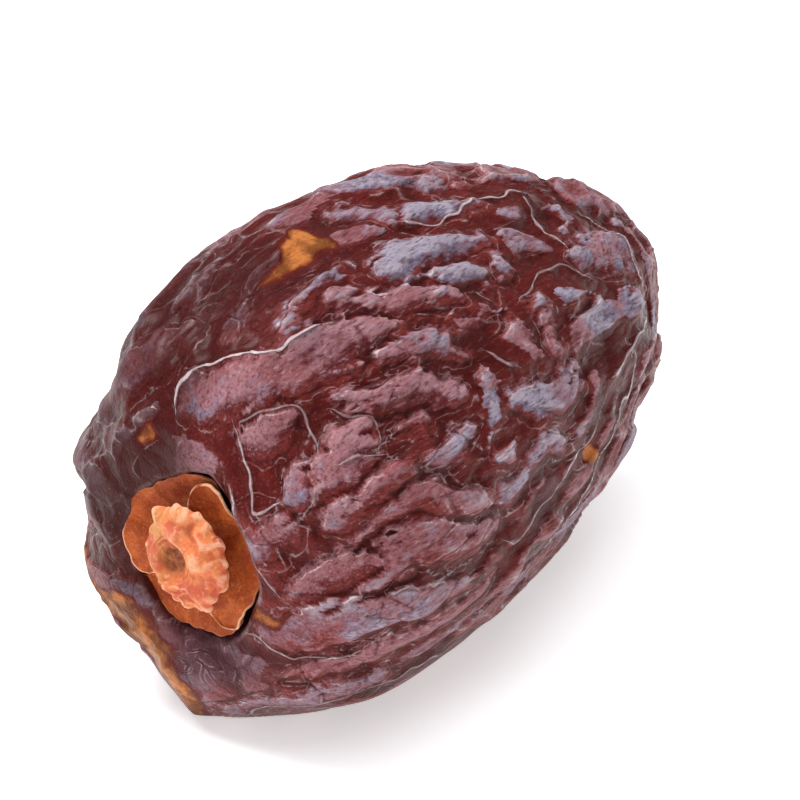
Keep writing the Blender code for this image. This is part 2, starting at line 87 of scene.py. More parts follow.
# The flat underside, and the three low spots on it that touch the surface: x and y from MIDDLE
UNDERSIDE_Z = 0.25
LOW_SPOTS = ((1.5, 3.4), (1.5, -3.0), (-11.8, 0.3))
LOW_SPOT_RADIUS = 1.8
LOW_SPOT_EDGE = 1.4

# How far the petals reach round the stem: angle in degrees and reach
PETAL_OUTLINE = (
    (-77, 5.0), (-50, 4.8), (-22, 4.35), (5, 4.8), (34, 5.1), (54, 4.65), (77, 4.9), (92, 5.5),
    (108, 5.8), (140, 5.3), (176, 4.8), (205, 4.65), (217, 4.9), (238, 5.25), (262, 4.9),
)

# The hollow round the stem, which holds the petals
HOLLOW_DEPTH = 1.9
HOLLOW_MARGIN = -0.35            # from the petals' reach inward to the foot of its wall
RIGHT_MARGIN = 0.5               # how much farther out the wall stands on the right
RIGHT_SIDE = (205, 40)           # which is round this angle: middle and spread in degrees
HOLLOW_STEP = 0.75               # share of the wall that is steep; above it the skin rises gently
WALL_FOOT = -0.1                 # where the wall starts and ends, from the margin
WALL_TOP = 0.6
SLOPE_TOP = 0.9
HOLLOW_SLOPE = 0.35              # how gently, beside the wall at the straight fold
FOLD_ANGLE = 149                 # a straight fold of skin crosses the hollow on this side
FOLD_DISTANCE = 5.05
RIM_HEIGHT = 0.35
RIM_WIDTH = 1.1

# The skin's relief: seed, count of creases, distance between them, width, length, turn in degrees.
# Near the tip and the stem, from and to the given places along, they turn more and get smaller.
BROAD_FOLDS = (11, 260, 8.0, 4.5, 9.0, 14)
FOLDS = (12, 900, 3.5, 2.2, 5.0, 16)
NEAR_TIP = (0.68, 0.95)
NEAR_STEM = (0.20, 0.08)
TURN_AT_ENDS = 4.0
NARROWER_AT_ENDS = 0.25
SHORTER_AT_ENDS = 0.5
DISTANCE_RANGE = (0.8, 1.3)
BROAD_HEIGHT = 0.45
FOLD_HEIGHT = 0.62
BROAD_SHARPNESS = 0.9
FLANK = (-0.75, -0.05)   # the heights of a crease between which a fold rises to its flat top
FLANK_SHARE = 0.7
WANDER = ((0.9, 7.0, 1), (0.3, 2.6, 51))    # what bends the folds: amount, size and first seed of noises

# Flat-topped folds with a place of their own, on the side seen most: each is a line of
# (along the fruit from 0 at the stem end to 1 at the tip, angle in degrees, half width)
FOLD_TOPS = (
    ((0.17, 86, 1.2), (0.18, 100, 2), (0.21, 107, 1.2)),
    ((0.23, 112, 1), (0.27, 114, 1.6), (0.33, 116, 1.3), (0.38, 119, 0.6)),
    ((0.34, 124, 0.6), (0.37, 126, 1), (0.41, 129, 0.7), (0.43, 134, 0.4)),
    ((0.35, 107, 1), (0.38, 112, 0.7), (0.43, 116, 0.7), (0.47, 122, 0.5)),
    ((0.43, 106, 1), (0.47, 106, 1.2), (0.52, 108, 1.1), (0.58, 111, 0.5)),
    ((0.21, 25, 1), (0.18, 55, 1.4), (0.20, 68, 1.4), (0.23, 75, 0.6)),
    ((0.27, 127, 0.4), (0.30, 132, 0.7), (0.34, 137, 1.1), (0.38, 139, 1), (0.40, 143, 0.4)),
    ((0.31, 142, 0.4), (0.34, 144, 0.4)),
    ((0.32, 153, 0.5), (0.35, 154, 0.6), (0.39, 154, 0.5)),
    ((0.47, 154, 0.6), (0.51, 158, 1.2), (0.57, 158, 0.8)),
    ((0.16, 116, 1.1), (0.18, 119, 1.2), (0.20, 122, 0.7)),
    ((0.18, 147, 0.6), (0.21, 143, 1), (0.24, 140, 1.2), (0.27, 138, 0.8)),
    ((0.19, 156, 0.7), (0.22, 153, 0.8), (0.26, 152, 0.6), (0.29, 152, 0.2)),
    ((0.21, 166, 0.5), (0.25, 162, 0.7), (0.29, 161, 0.7), (0.32, 166, 0.8), (0.37, 173, 0.6)),
    ((0.21, 178, 0.7), (0.25, 173, 1.3), (0.29, 173, 1.3), (0.33, 177, 1), (0.38, 180, 0.6)),
    ((0.14, 178, 0.7), (0.18, 173, 1), (0.21, 171, 0.6)),
    ((0.13, 202, 1.4), (0.16, 193, 1.8), (0.20, 188, 1.6), (0.25, 186, 1.2), (0.33, 188, 0.7)),
    ((0.16, 222, 0.6), (0.20, 210, 1), (0.25, 203, 1.1), (0.31, 199, 1), (0.38, 195, 0.6)),
    ((0.07, 156, 1), (0.13, 154, 1)),
    ((0.46, 168, 0.6), (0.52, 171, 0.6)),
    ((0.69, 131, 0.7), (0.77, 134, 1.4), (0.81, 140, 1)),
    ((0.47, 83, 0.6), (0.50, 86, 1.1), (0.51, 91, 0.6)),
    ((0.53, 95, 0.6), (0.57, 96, 0.7), (0.62, 97, 0.5)),
    ((0.57, 119, 0.5), (0.57, 124, 0.5)),
    ((0.27, 102, 0.4), (0.32, 101, 0.6), (0.37, 99, 0.5)),
    ((0.20, 262, 0.6), (0.19, 240, 0.7), (0.21, 225, 0.8), (0.26, 216, 0.6)),
    ((0.18, 136, 0.6), (0.16, 142, 0.8)),
    ((0.41, 172, 0.8), (0.45, 172, 0.5)),
    ((0.48, 114, 0.6), (0.52, 119, 0.7), (0.53, 124, 0.5)),
    ((0.57, 136, 0.6), (0.58, 142, 0.8), (0.57, 147, 0.6)),
)

# Thin crests on the same side: lines of (along, angle)
CRESTS = (
    ((0.15, 80), (0.17, 81), (0.20, 87), (0.22, 96), (0.23, 104), (0.27, 106), (0.32, 108)),
    ((0.51, 93), (0.54, 99), (0.58, 99), (0.64, 96), (0.73, 100)),
    ((0.70, 98), (0.69, 109), (0.68, 118), (0.69, 126)),
    ((0.77, 112), (0.79, 122), (0.80, 136), (0.79, 154)),
    ((0.55, 132), (0.59, 130), (0.65, 132), (0.71, 142)),
    ((0.39, 184), (0.45, 185), (0.49, 182), (0.53, 180), (0.58, 177), (0.62, 168)),
    ((0.46, 198), (0.51, 198), (0.56, 195), (0.60, 191), (0.65, 184), (0.70, 174), (0.70, 160)),
    ((0.16, 109), (0.18, 111), (0.20, 115), (0.22, 121), (0.22, 128), (0.21, 134)),
    ((0.25, 126), (0.27, 132), (0.28, 135), (0.28, 140), (0.26, 144)),
    ((0.10, 220), (0.12, 213), (0.15, 214), (0.17, 209), (0.24, 198)),
    ((0.21, 182), (0.24, 181), (0.29, 182), (0.32, 182)),
    ((0.21, 268), (0.20, 250), (0.20, 230), (0.25, 221), (0.32, 219), (0.40, 221)),
    ((0.47, 137), (0.48, 143), (0.50, 148)),
    ((0.15, 151), (0.17, 148), (0.18, 144)),
    ((0.64, 165), (0.71, 164), (0.80, 166)),
    ((0.12, 71), (0.10, 55), (0.09, 51)),
    ((0.22, 141), (0.25, 142), (0.28, 145)),
    ((0.163, 107), (0.136, 121), (0.117, 135), (0.13, 139), (0.15, 139)),
    ((0.115, 117), (0.097, 130), (0.094, 149), (0.098, 168), (0.112, 182)),
)
PLACED_HEIGHT = 0.55
PLACED_DEPTH = 0.32
PLACED_REACH = (0.7, 1.9)  # from the nearer to the farther distance the other folds take over
PLACED_WANDER = ((0.5, 2.4, 71), (0.2, 1.1, 74))

# Where the skin is calm: in the hollow and for some way past it, and underneath
CALM_HEIGHT = (2.0, 6.5)
CALM_SHARE = 0.12

# Petals: from and to angle in degrees, and how far each side is lifted over its neighbour
PETALS = {
    "petal_1": (92, 240, 1, 1),
    "petal_2": (-35, 119, 1, 0),
    "petal_3": (212, 346, 0, 0),
}
PETAL_THICKNESS = 0.45
GAP = 0.3
PETAL_LAP = 27           # degrees by which neighbours overlap
PETAL_RISE = (22, 3)     # degrees past the overlap between which a side comes up
PETAL_PLAY = 0.05        # more than the gap between petals that lie on each other
PETAL_FLOOR_PLAY = 0.1   # and between them and the hollow's floor

# How blue the bloom on each of FOLD_TOPS is: 0 is wine red
FOLD_TONES = (
    0.3, 0.1, 0.5, 0.2, 0.9, 0.3, 0.1, 0.4, 0.6, 0.8, 0.1, 0.0, 0.2, 0.1, 0.3,
    0.1, 0.5, 0.3, 0.2, 0.7, 0.6, 1.0, 0.8, 0.7, 0.5, 0.8, 0.3, 0.6, 0.9, 0.4,
)
# How bright the painted highlight along each of CRESTS is
CREST_SHINE = (
    1.0, 0.6, 0.6, 0.7, 0.4, 0.5, 0.6, 0.5, 0.4, 0.5, 0.4, 0.5, 0.5, 0.4, 0.6, 0.3, 0.4, 0.6, 0.5,
)
USUAL_TONE = 0.4
CREST_TAPER = 0.25       # how far a crest's line withdraws at its ends
FAR = 9.0                # millimetres that stand for too far away to matter

# The fine petals
PETAL_CUTS = (150, 60)   # round the stem and outwards
PETAL_ROOT = 1.7         # the radius at which they start, below the calyx
PETAL_SHEET = 0.2        # how thick they are
PETAL_EXTRA = 0.35       # how much farther than PETAL_OUTLINE they reach
TOP_EXTRA = 0.3          # and how much more at the top
PETAL_TOP = (85, 40)
CORNER_DEGREES = 17      # from its side, where a petal's corner starts to be rounded
CORNER_DEPTH = 1.7
PAST_FOLD = 0.08         # how far they reach past the straight fold of skin
PETAL_CURL = 0.6         # how far a rim stands up where nothing lies on it

# The calyx, as in the model
STALK_TOP = (1.4, 1.9)           # heights between which it shifts sideways
CALYX_LEAN = (-0.68, 0.91)       # sideways and upward shift of the collar from the fruit's axis
CALYX_STRETCH = (0.95, 1.08)     # the collar is a little narrow and tall
CALYX_PROFILE = (
    (0.0, 0.0), (1.5, 0.0), (1.75, 0.2), (1.8, 1.55), (2.5, 1.88), (3.1, 1.98), (3.3, 2.25),
    (3.0, 2.65), (2.4, 2.95), (1.7, 3.1), (1.15, 2.95), (0.85, 2.5), (0.7, 2.25), (0.0, 2.15),
)
CALYX_HOLE = (0.7, -0.3)         # shift of the scar in the collar's middle
# Where its lip curls: angle, spread, extra reach and lift
CALYX_CURLS = (
    (42, 6, 0.3, 0.3), (75, 12, 0.15, 0.2), (118, 14, 0.15, 0.1), (238, 6, 0.3, 0.1),
    (254, 5, 0.3, -0.1), (271, 6, 0.25, 0.15), (291, 5, 0.25, 0.0),
)
# Mounds on it: angle, spread, radius, width and rise
CALYX_MOUNDS = (
    (130, 50, 1.4, 0.25, 0.15), (160, 50, 2.1, 0.6, 0.2), (235, 20, 2.2, 0.7, 0.2),
    (285, 22, 2.1, 0.7, 0.15), (5, 60, 2.4, 0.8, -0.2),
)
CALYX_CUTS = 51
CALYX_SLACK = 0.07
CALYX_STIFFNESS = 0.22
CALYX_RANGE = (-0.4, 0.5)        # how deep and how high its folds go
CALYX_WANDER = ((0.6, 1.7, 101), (0.25, 0.8, 104))
CALYX_WAVES = ((0.07, 7, 1), (0.06, 12, 2), (0.05, 23, 0))  # of its lip: amount, count, turn
LIP_LIFTS = ((0.16, 3, 1), (0.1, 8, 0))
SMOOTH_SIDE = 5                  # on this side, in degrees, it stays smooth

# The fine skin
BALL_CUTS = 127          # cuts along each side of the cube that is blown up into a ball
RING_CROWDING = 0.3      # how much closer the rings of points are at both ends
SLACK_AROUND = 0.045     # how much longer than the flesh the dried skin is, round the fruit
SLACK_ALONG = 0.015      # and from end to end
SKIN_RANGE = (-0.7, 0.8)
SKIN_PLAY = 0.02         # how far it may move even where it is held
STIFFNESS = 0.2
SMOOTHING_PASSES = 3
# The paint lightens folds on this side and darkens them on the other, as painted light
FOLD_LEAN = (0, 0.7, 0.7)  # the side to which folds of skin lean over

# How a net of points settles
SETTLING_STEPS = 150
ACROSS_WEIGHT = 0.5      # strength of the ties across its squares, beside those along its edges
SPEED_KEPT = 0.85        # share of its speed that a point keeps from step to step
SPEED_GAINED = 1.6       # and share of the ties' pull that is added to it
LONGEST_SLIDE = 1.0      # along the surface, from where the point would lie unwrinkled
BROUGHT_BACK = 0.5       # share of the way back into its range that a point goes in a step
HOLD = 0.04              # how firmly each point keeps to where it started

# The relief from which the skin settles: shares of the model's heights, then cells that break it up
START_BROAD = 0.8
START_FOLDS = 0.6
PLACED_FLANK = (-0.4, 0.45)
CROWN = (0.2, 1.2)       # distances inside a fold between which its top is crowned
CROWN_HEIGHT = 0.12
CELL_WANDER = ((0.7, 3.0, 31), (0.25, 1.0, 34))
LARGE_CELLS = (21, 620, (0.42, 1, 1))    # seed, count, and how much each axis is shortened
SMALL_CELLS = (22, 3800, (0.38, 1, 1))
BOWL_LEVEL = 0.7
BOWL_HEIGHT = 0.15
LARGE_TEAR = 0.5         # how far the cells shift the edges of folds
SMALL_TEAR = 0.6
RAGGED_EDGES = ((0.12, 0.5, 77), (0.05, 0.3, 80))
QUIET_ALONG = (0.33, 0.13)       # a calm stretch above the stem end: middle and spread, along
QUIET_ROUND = (84, 20)           # and in degrees

# What stands out of the settled skin or is sunk in it: height, distance at its middle, and spread
RIDGES = {
    "crest": (0.28, 0, 0.26), "seam": (0.13, 0, 0.28), "valley": (-0.08, 0, 0.26),
    "lip": (0.1, 0.05, 0.22), "tilt": (0.16, 0.4, 0.45), "groove": (-0.08, -0.15, 0.16),
}

# Zones of colour beside the hollow: distances past it at which they start and are full, and angles
WALL_ZONE = (1.3, 0.4)
# Brown beside the stem, with painted shade over it at half strength
BROWN_SHADE_ZONE = (5.6, 1.6)
BROWN_SHADE_SIDE = (12, 62)
PLUM_ZONE = (5.0, 2.5)
PLUM_SIDE = (258, 34)
# Painted shade on the upper flank
FLANK_SHADE_ALONG = (0.42, 0.3)         # the dark upper flank, along the fruit
FLANK_SHADE_ROUND = (98, 80)            # and in degrees

# The share of the bloom that is lost on the far side, and the share taken off low on the seen side as
# painted shade
SEEN_MIDDLE = 136
FAR_SIDE = (95, 140)     # degrees from the middle of the seen side
FAR_LOSS = 0.35
LOW_SIDE = (215, 36)
LOW_SIDE_SHADE = 0.45

# Where light shows through the skin: lines of (along, angle, half width)
AMBER_WANDER = ((0.8, 2.4, 81), (0.3, 0.9, 84))
AMBER = (
    ((0.19, 338, 0.8), (0.13, 317, 1.4), (0.13, 296, 1.5), (0.14, 281, 1.3), (0.18, 276, 0.8)),
    ((0.32, 88, 0.3), (0.36, 87, 0.8), (0.40, 85, 1.0)),
    ((0.092, 206, 0.1), (0.104, 195, 0.15), (0.115, 187, 0.0)),
    ((0.13, 60, 0.2), (0.14, 66, 0.25)),
    ((0.59, 183, 0.5), (0.61, 186, 0.3)),
    ((0.30, 312, 0.5), (0.35, 318, 1.1), (0.41, 322, 0.6)),
    ((0.72, 22, 0.8), (0.77, 28, 0.5)),
    ((0.55, 352, 0.4), (0.58, 355, 0.6)),
)

# The camera and the light
CAMERA_AZIMUTH = -54.5
CAMERA_ELEVATION = 29.2
CAMERA_DISTANCE = 600
VIEW_WIDTH = 52          # what the camera sees across, at the fruit
# Lights: how far right, away and up from the fruit's middle, width, and power in watts
LIGHTS = {
    "key": ((-240, 50, 440), 190, 2.15),
    "overhead": ((60, -40, 520), 450, 1.8),
    "front": ((-260, -420, 200), 300, 0.3),
}
SKY = (0.95, 0.97, 1, 1)
SKY_STRENGTH = 0.4
FLOOR_SIZE = 3
FLOOR_GLOW = 0.48

# Colours as linear red, green and blue; pairs run from the first to the second
HIGHLIGHT_RED = (1.0, 0.6, 0.58)
DEEP_REDS = ((0.055, 0.004, 0.003), (0.10, 0.008, 0.006))
WARM_RED = (0.19, 0.028, 0.024)
QUIET_RED = (0.075, 0.006, 0.006)
WINES = ((0.095, 0.015, 0.018), (0.315, 0.15, 0.172))
BLUES = ((0.12, 0.085, 0.12), (0.195, 0.17, 0.25))
SHEEN_WHITE = (0.43, 0.39, 0.46)
DARK_FIBRE = (0.05, 0.006, 0.007)
PALE_FIBRE = (0.42, 0.29, 0.33)
FLANK_SHADE_RED = (0.038, 0.003, 0.003)
BROWNS = ((0.026, 0.004, 0.002), (0.062, 0.011, 0.007))
WALL_BROWN = (0.055, 0.009, 0.005)
PLUMS = ((0.045, 0.012, 0.018), (0.085, 0.032, 0.043))
PIT_SHADE = (0.022, 0.001, 0.001)
SHADE_DARK = (0.03, 0.0015, 0.0015)
FURROW_SHADE = (0.035, 0.002, 0.002)
CREST_SHADE = (0.045, 0.003, 0.003)
SHADED_BROWN = (0.035, 0.004, 0.003)
HIGHLIGHT_PALES = ((0.32, 0.17, 0.18), (0.60, 0.50, 0.52))
CREST_HIGHLIGHT = (0.76, 0.70, 0.72)
HONEYS = ((0.15, 0.045, 0.009), (0.46, 0.15, 0.038))
HONEY_GRAIN = (0.10, 0.014, 0.004)
HONEY_RIM = (0.09, 0.007, 0.003)
HONEY_PALE = (0.66, 0.38, 0.20)
SPECKLE = (0.36, 0.24, 0.25)
PETAL_BROWNS = ((0.32, 0.046, 0.007), (0.50, 0.102, 0.016))
PETAL_BLOT = (0.24, 0.035, 0.007)
PETAL_VEIN = (0.16, 0.018, 0.004)
PETAL_LIGHT = (0.80, 0.32, 0.11)
PETAL_GRAIN = (0.22, 0.035, 0.007)
PETAL_RIM_HIGHLIGHT = (0.88, 0.50, 0.30)
CALYX_ORANGES = ((0.66, 0.145, 0.042), (0.74, 0.24, 0.085))
CALYX_TAN = (0.60, 0.27, 0.085)
CALYX_ROSE = (0.55, 0.085, 0.045)
CALYX_FOLD_SHADE = (0.34, 0.045, 0.014)
CALYX_EDGE_HIGHLIGHT = (0.92, 0.56, 0.36)
CALYX_VEIN = (0.42, 0.055, 0.020)
CALYX_LIGHT = (0.93, 0.55, 0.33)
CALYX_GRAIN = (0.45, 0.10, 0.03)
SCAR_BROWNS = ((0.18, 0.036, 0.011), (0.44, 0.14, 0.045))


def superellipse_meridian(count):
    """Share of the skin's length, place along the axis and share of the radius, from stem end to tip."""
    turn = np.linspace(0, np.pi, count)
    power = np.where(turn < np.pi / 2, STEM_POWER, TIP_POWER)
    reach = np.where(turn < np.pi / 2, WIDEST_X, LENGTH - WIDEST_X)
    along = WIDEST_X - np.sign(np.cos(turn)) * reach * np.abs(np.cos(turn)) ** (2 / power)
    share = np.abs(np.sin(turn)) ** (2 / power)
    steps = np.hypot(np.diff(along), np.diff(share * WIDTH / 2))
    run = np.concatenate([[0], np.cumsum(steps)])
    return run / run[-1], along, share


MERIDIAN_POINTS = 2000
MERIDIAN = superellipse_meridian(MERIDIAN_POINTS)


def smooth(start, end, value):
    t = np.clip((value - start) / (end - start), 0, 1)
    return t * t * (3 - 2 * t)


def bump(value, centre, spread):
    return np.exp(-(((value - centre) / spread) ** 2))


def angle_from(angle, degrees):
    """Signed angle from a direction, in degrees."""
    return (np.degrees(angle) - degrees + 180) % 360 - 180


def near_angle(angle, middle, spread):
    """1 in a direction, less on both sides of it; middle and spread are in degrees."""
    return bump(angle_from(angle, middle), 0, spread)


def shoulder_share(angle):
    """Radius of the polygon through the shoulder's corners."""
    corner_angles = np.radians([corner[0] for corner in SHOULDER_CORNERS])
    shares = [corner[1] for corner in SHOULDER_CORNERS]
    result = np.ones_like(angle)
    for i, first in enumerate(corner_angles):
        j = (i + 1) % len(shares)
        span = (corner_angles[j] - first) % (2 * np.pi)
        past = (angle - first) % (2 * np.pi)
        across = shares[i] * np.sin(past) + shares[j] * np.sin(span - past)
        edge = shares[i] * shares[j] * np.sin(span) / across
        result = np.where(past < span, edge, result)
    return result


def petal_reach(angle):
    angles, reaches = np.array(PETAL_OUTLINE).T
    return np.interp(np.degrees(angle), angles, reaches, period=360)


def hollow(radius, angle):
    """Depth of the hollow, less than nothing on its rim, and how far past its flat floor a place is."""
    margin = HOLLOW_MARGIN + RIGHT_MARGIN * near_angle(angle, *RIGHT_SIDE)
    past_edge = radius - petal_reach(angle) - margin
    past_fold = radius * np.cos(np.radians(angle_from(angle, FOLD_ANGLE))) - FOLD_DISTANCE
    past = np.maximum(past_edge, past_fold)
    slope = np.maximum(past_edge * HOLLOW_SLOPE, past_fold)
    floor = HOLLOW_STEP * smooth(WALL_TOP, WALL_FOOT, past)
    floor += (1 - HOLLOW_STEP) * smooth(SLOPE_TOP, WALL_FOOT, slope)
    return HOLLOW_DEPTH * floor - RIM_HEIGHT * bump(slope, RIM_WIDTH, RIM_WIDTH), past


def plain_fruit(along, angle):
    """Points of the fruit before its skin wrinkled; along is 0 at the stem end and 1 at the tip."""
    x = np.interp(along, MERIDIAN[0], MERIDIAN[1])
    share = np.interp(along, MERIDIAN[0], MERIDIAN[2])
    radius = share * WIDTH / 2
    at_shoulder = SHOULDER_STRENGTH * bump(along, SHOULDER_AT, SHOULDER_SPREAD)
    corners = 1 + at_shoulder * (shoulder_share(angle) - SHOULDER_LEVEL)
    waist = np.sin(np.pi * along)
    lobes = np.ones_like(angle)
    for count, depth, turn, twist in LOBES:
        lobes = lobes + waist * depth * np.cos(count * angle + turn + twist * along)
    y = radius * np.cos(angle) * corners * lobes
    z = radius * HEIGHT / WIDTH * np.sin(angle) * corners * lobes
    x = x + np.where(x < WIDEST_X, hollow(radius, angle)[0], 0)
    bend = np.clip((x - BEND_FROM_X) / LENGTH, 0, 1) ** 2
    return np.stack([x, y + TIP_SIDESTEP * bend, z + AXIS_HEIGHT + TIP_RISE * bend], -1)


def directions(along, angle):
    """Unit vectors on the plain fruit: towards the tip, round the axis, and out of the skin."""
    step = 0.002
    along = np.clip(along, 3 * step, 1 - 3 * step)
    down = plain_fruit(along + step, angle) - plain_fruit(along - step, angle)
    around = plain_fruit(along, angle + 4 * step) - plain_fruit(along, angle - 4 * step)
    down /= np.linalg.norm(down, axis=-1, keepdims=True)
    around /= np.linalg.norm(around, axis=-1, keepdims=True)
    out = np.cross(around, down)
    return down, around, out / np.linalg.norm(out, axis=-1, keepdims=True)


def cloud(points, seed, size):
    """Smooth noise between -1 and 1, with lumps of the given size."""
    table = np.random.default_rng(seed).uniform(-1, 1, (32, 32, 32))
    cell = np.floor(points / size).astype(int)
    t = points / size - cell
    t = t * t * t * (t * (6 * t - 15) + 10)
    total = np.zeros(points.shape[:-1])
    for corner in np.ndindex(2, 2, 2):
        weight = np.prod(np.where(corner, t, 1 - t), axis=-1)
        x, y, z = ((cell[..., i] + corner[i]) % 32 for i in range(3))
        total += weight * table[x, y, z]
    return total


def scattered(rng, count):
    """Places drawn evenly over the fruit: along it and round it."""
    area = np.cumsum(np.append(0, np.diff(MERIDIAN[0])) * (MERIDIAN[2] + 0.02))
    along = np.interp(rng.random(count), area / area[-1], MERIDIAN[0])
    return along, rng.random(count) * 2 * np.pi


def creases(points, seed, count, distance, width, length, turn):
    """Waves in short strokes that run from stem to tip, more turned and shorter at both ends."""
    rng = np.random.default_rng(seed)
    along, angle = scattered(rng, count)
    centre = plain_fruit(along, angle)
    down, around, out = directions(along, angle)
    at_ends = np.clip(smooth(*NEAR_TIP, along) + smooth(*NEAR_STEM, along), 0, 1)
    twist = rng.normal(0, 1, count) * np.radians(turn * (1 + (TURN_AT_ENDS - 1) * at_ends))
    across = around * np.cos(twist)[:, None] + down * np.sin(twist)[:, None]
    lengthways = down * np.cos(twist)[:, None] - around * np.sin(twist)[:, None]
    pitch = 2 * np.pi / (distance * rng.uniform(*DISTANCE_RANGE, count))
    phase = rng.random(count) * 2 * np.pi
    widths = width * (1 - NARROWER_AT_ENDS * at_ends)
    lengths = length * (1 - SHORTER_AT_ENDS * at_ends)
    total = np.zeros(points.shape[:-1])
    power = np.full(points.shape[:-1], 1e-6)
    for i in range(count):
        offset = points - centre[i]
        a = offset @ across[i]
        b = offset @ lengthways[i]
        c = offset @ out[i]
        reach = np.exp(-0.5 * ((a / widths[i]) ** 2 + (b / lengths[i]) ** 2 + (c / widths[i]) ** 2))
        total += reach * np.cos(pitch[i] * a + phase[i])
        power += reach * reach
    return total / np.sqrt(power * 0.5)


def warped(points, out, *noises):
    """Points pushed about along the skin by noises, each given as amount, size and first seed."""
    push = np.zeros_like(points)
    for amount, size, seed in noises:
        push += amount * np.stack([cloud(points, seed + i, size) for i in range(3)], -1)
    return points + push - out * (push * out).sum(-1, keepdims=True)


def curve(line, steps=7):
    """Places along a smooth line through the given ones."""
    given = np.array(line, float)
    given = np.vstack([2 * given[0] - given[1], given, 2 * given[-1] - given[-2]])
    t = np.linspace(0, 1, steps, endpoint=False)[:, None]
    spans = []
    for a, b, c, d in zip(given[:-3], given[1:-2], given[2:-1], given[3:]):
        bow = (2 * a - 5 * b + 4 * c - d) * t ** 2 + (3 * b - a - 3 * c + d) * t ** 3
        spans.append(b + 0.5 * ((c - a) * t + bow))
    return np.vstack([*spans, given[-2]])


def distance_to_line(points, line):
    """Which points are near a line on the skin, how far past its half width, and where along it."""
    places = curve(line)
    width = places[:, 2] if places.shape[1] > 2 else np.zeros(len(places))
    places = plain_fruit(places[:, 0], np.radians(places[:, 1]))
    middle = places.mean(0)
    size = np.linalg.norm(places - middle, axis=1).max() + width.max() + PLACED_REACH[1]
    near = np.flatnonzero(((points - middle) ** 2).sum(-1) < size ** 2)
    distance = np.full(len(near), size)
    share = np.zeros(len(near))
    for i, start in enumerate(places[:-1]):
        run = places[i + 1] - start
        t = np.clip((points[near] - start) @ run / (run @ run), 0, 1)
        gap = np.linalg.norm(points[near] - start - t[:, None] * run, axis=1)
        gap -= width[i] + t * (width[i + 1] - width[i])
        share = np.where(gap < distance, (i + t) / (len(places) - 1), share)
        distance = np.minimum(distance, gap)
    return near, distance, share


def underside(points):
    """Height of the flattened underside: nothing on its low spots."""
    level = np.full(points.shape[:-1], UNDERSIDE_Z)
    for x, y in LOW_SPOTS:
        away = np.hypot(points[..., 0] - MIDDLE[0] - x, points[..., 1] - MIDDLE[1] - y)
        slope = smooth(LOW_SPOT_RADIUS, LOW_SPOT_RADIUS + LOW_SPOT_EDGE, away)
        level = np.minimum(level, UNDERSIDE_Z * slope)
    return level


def facets(points, seed, count, stretch):
    """Cells in the skin: distance to the nearest seam, its side, a bowl, and a draw for each cell."""
    rng = np.random.default_rng(seed)
    middles = plain_fruit(*scattered(rng, count)) * stretch
    tree = KDTree(count)
    for i, middle in enumerate(middles):
        tree.insert(middle, i)
    tree.balance()
    found = [tree.find_n(point, 2) for point in points * stretch]
    nearest = np.array([cell[0][1] for cell in found])
    second = np.array([cell[1][1] for cell in found])
    near, far = np.array([[cell[0][2], cell[1][2]] for cell in found]).T
    between = np.linalg.norm(middles[nearest] - middles[second], axis=1)
    seam = (far ** 2 - near ** 2) / (2 * between)
    bowl = (near / np.mean(near)) ** 2 / 2 - BOWL_LEVEL
    return seam, np.sign(second - nearest), bowl, rng.random(count)[nearest]


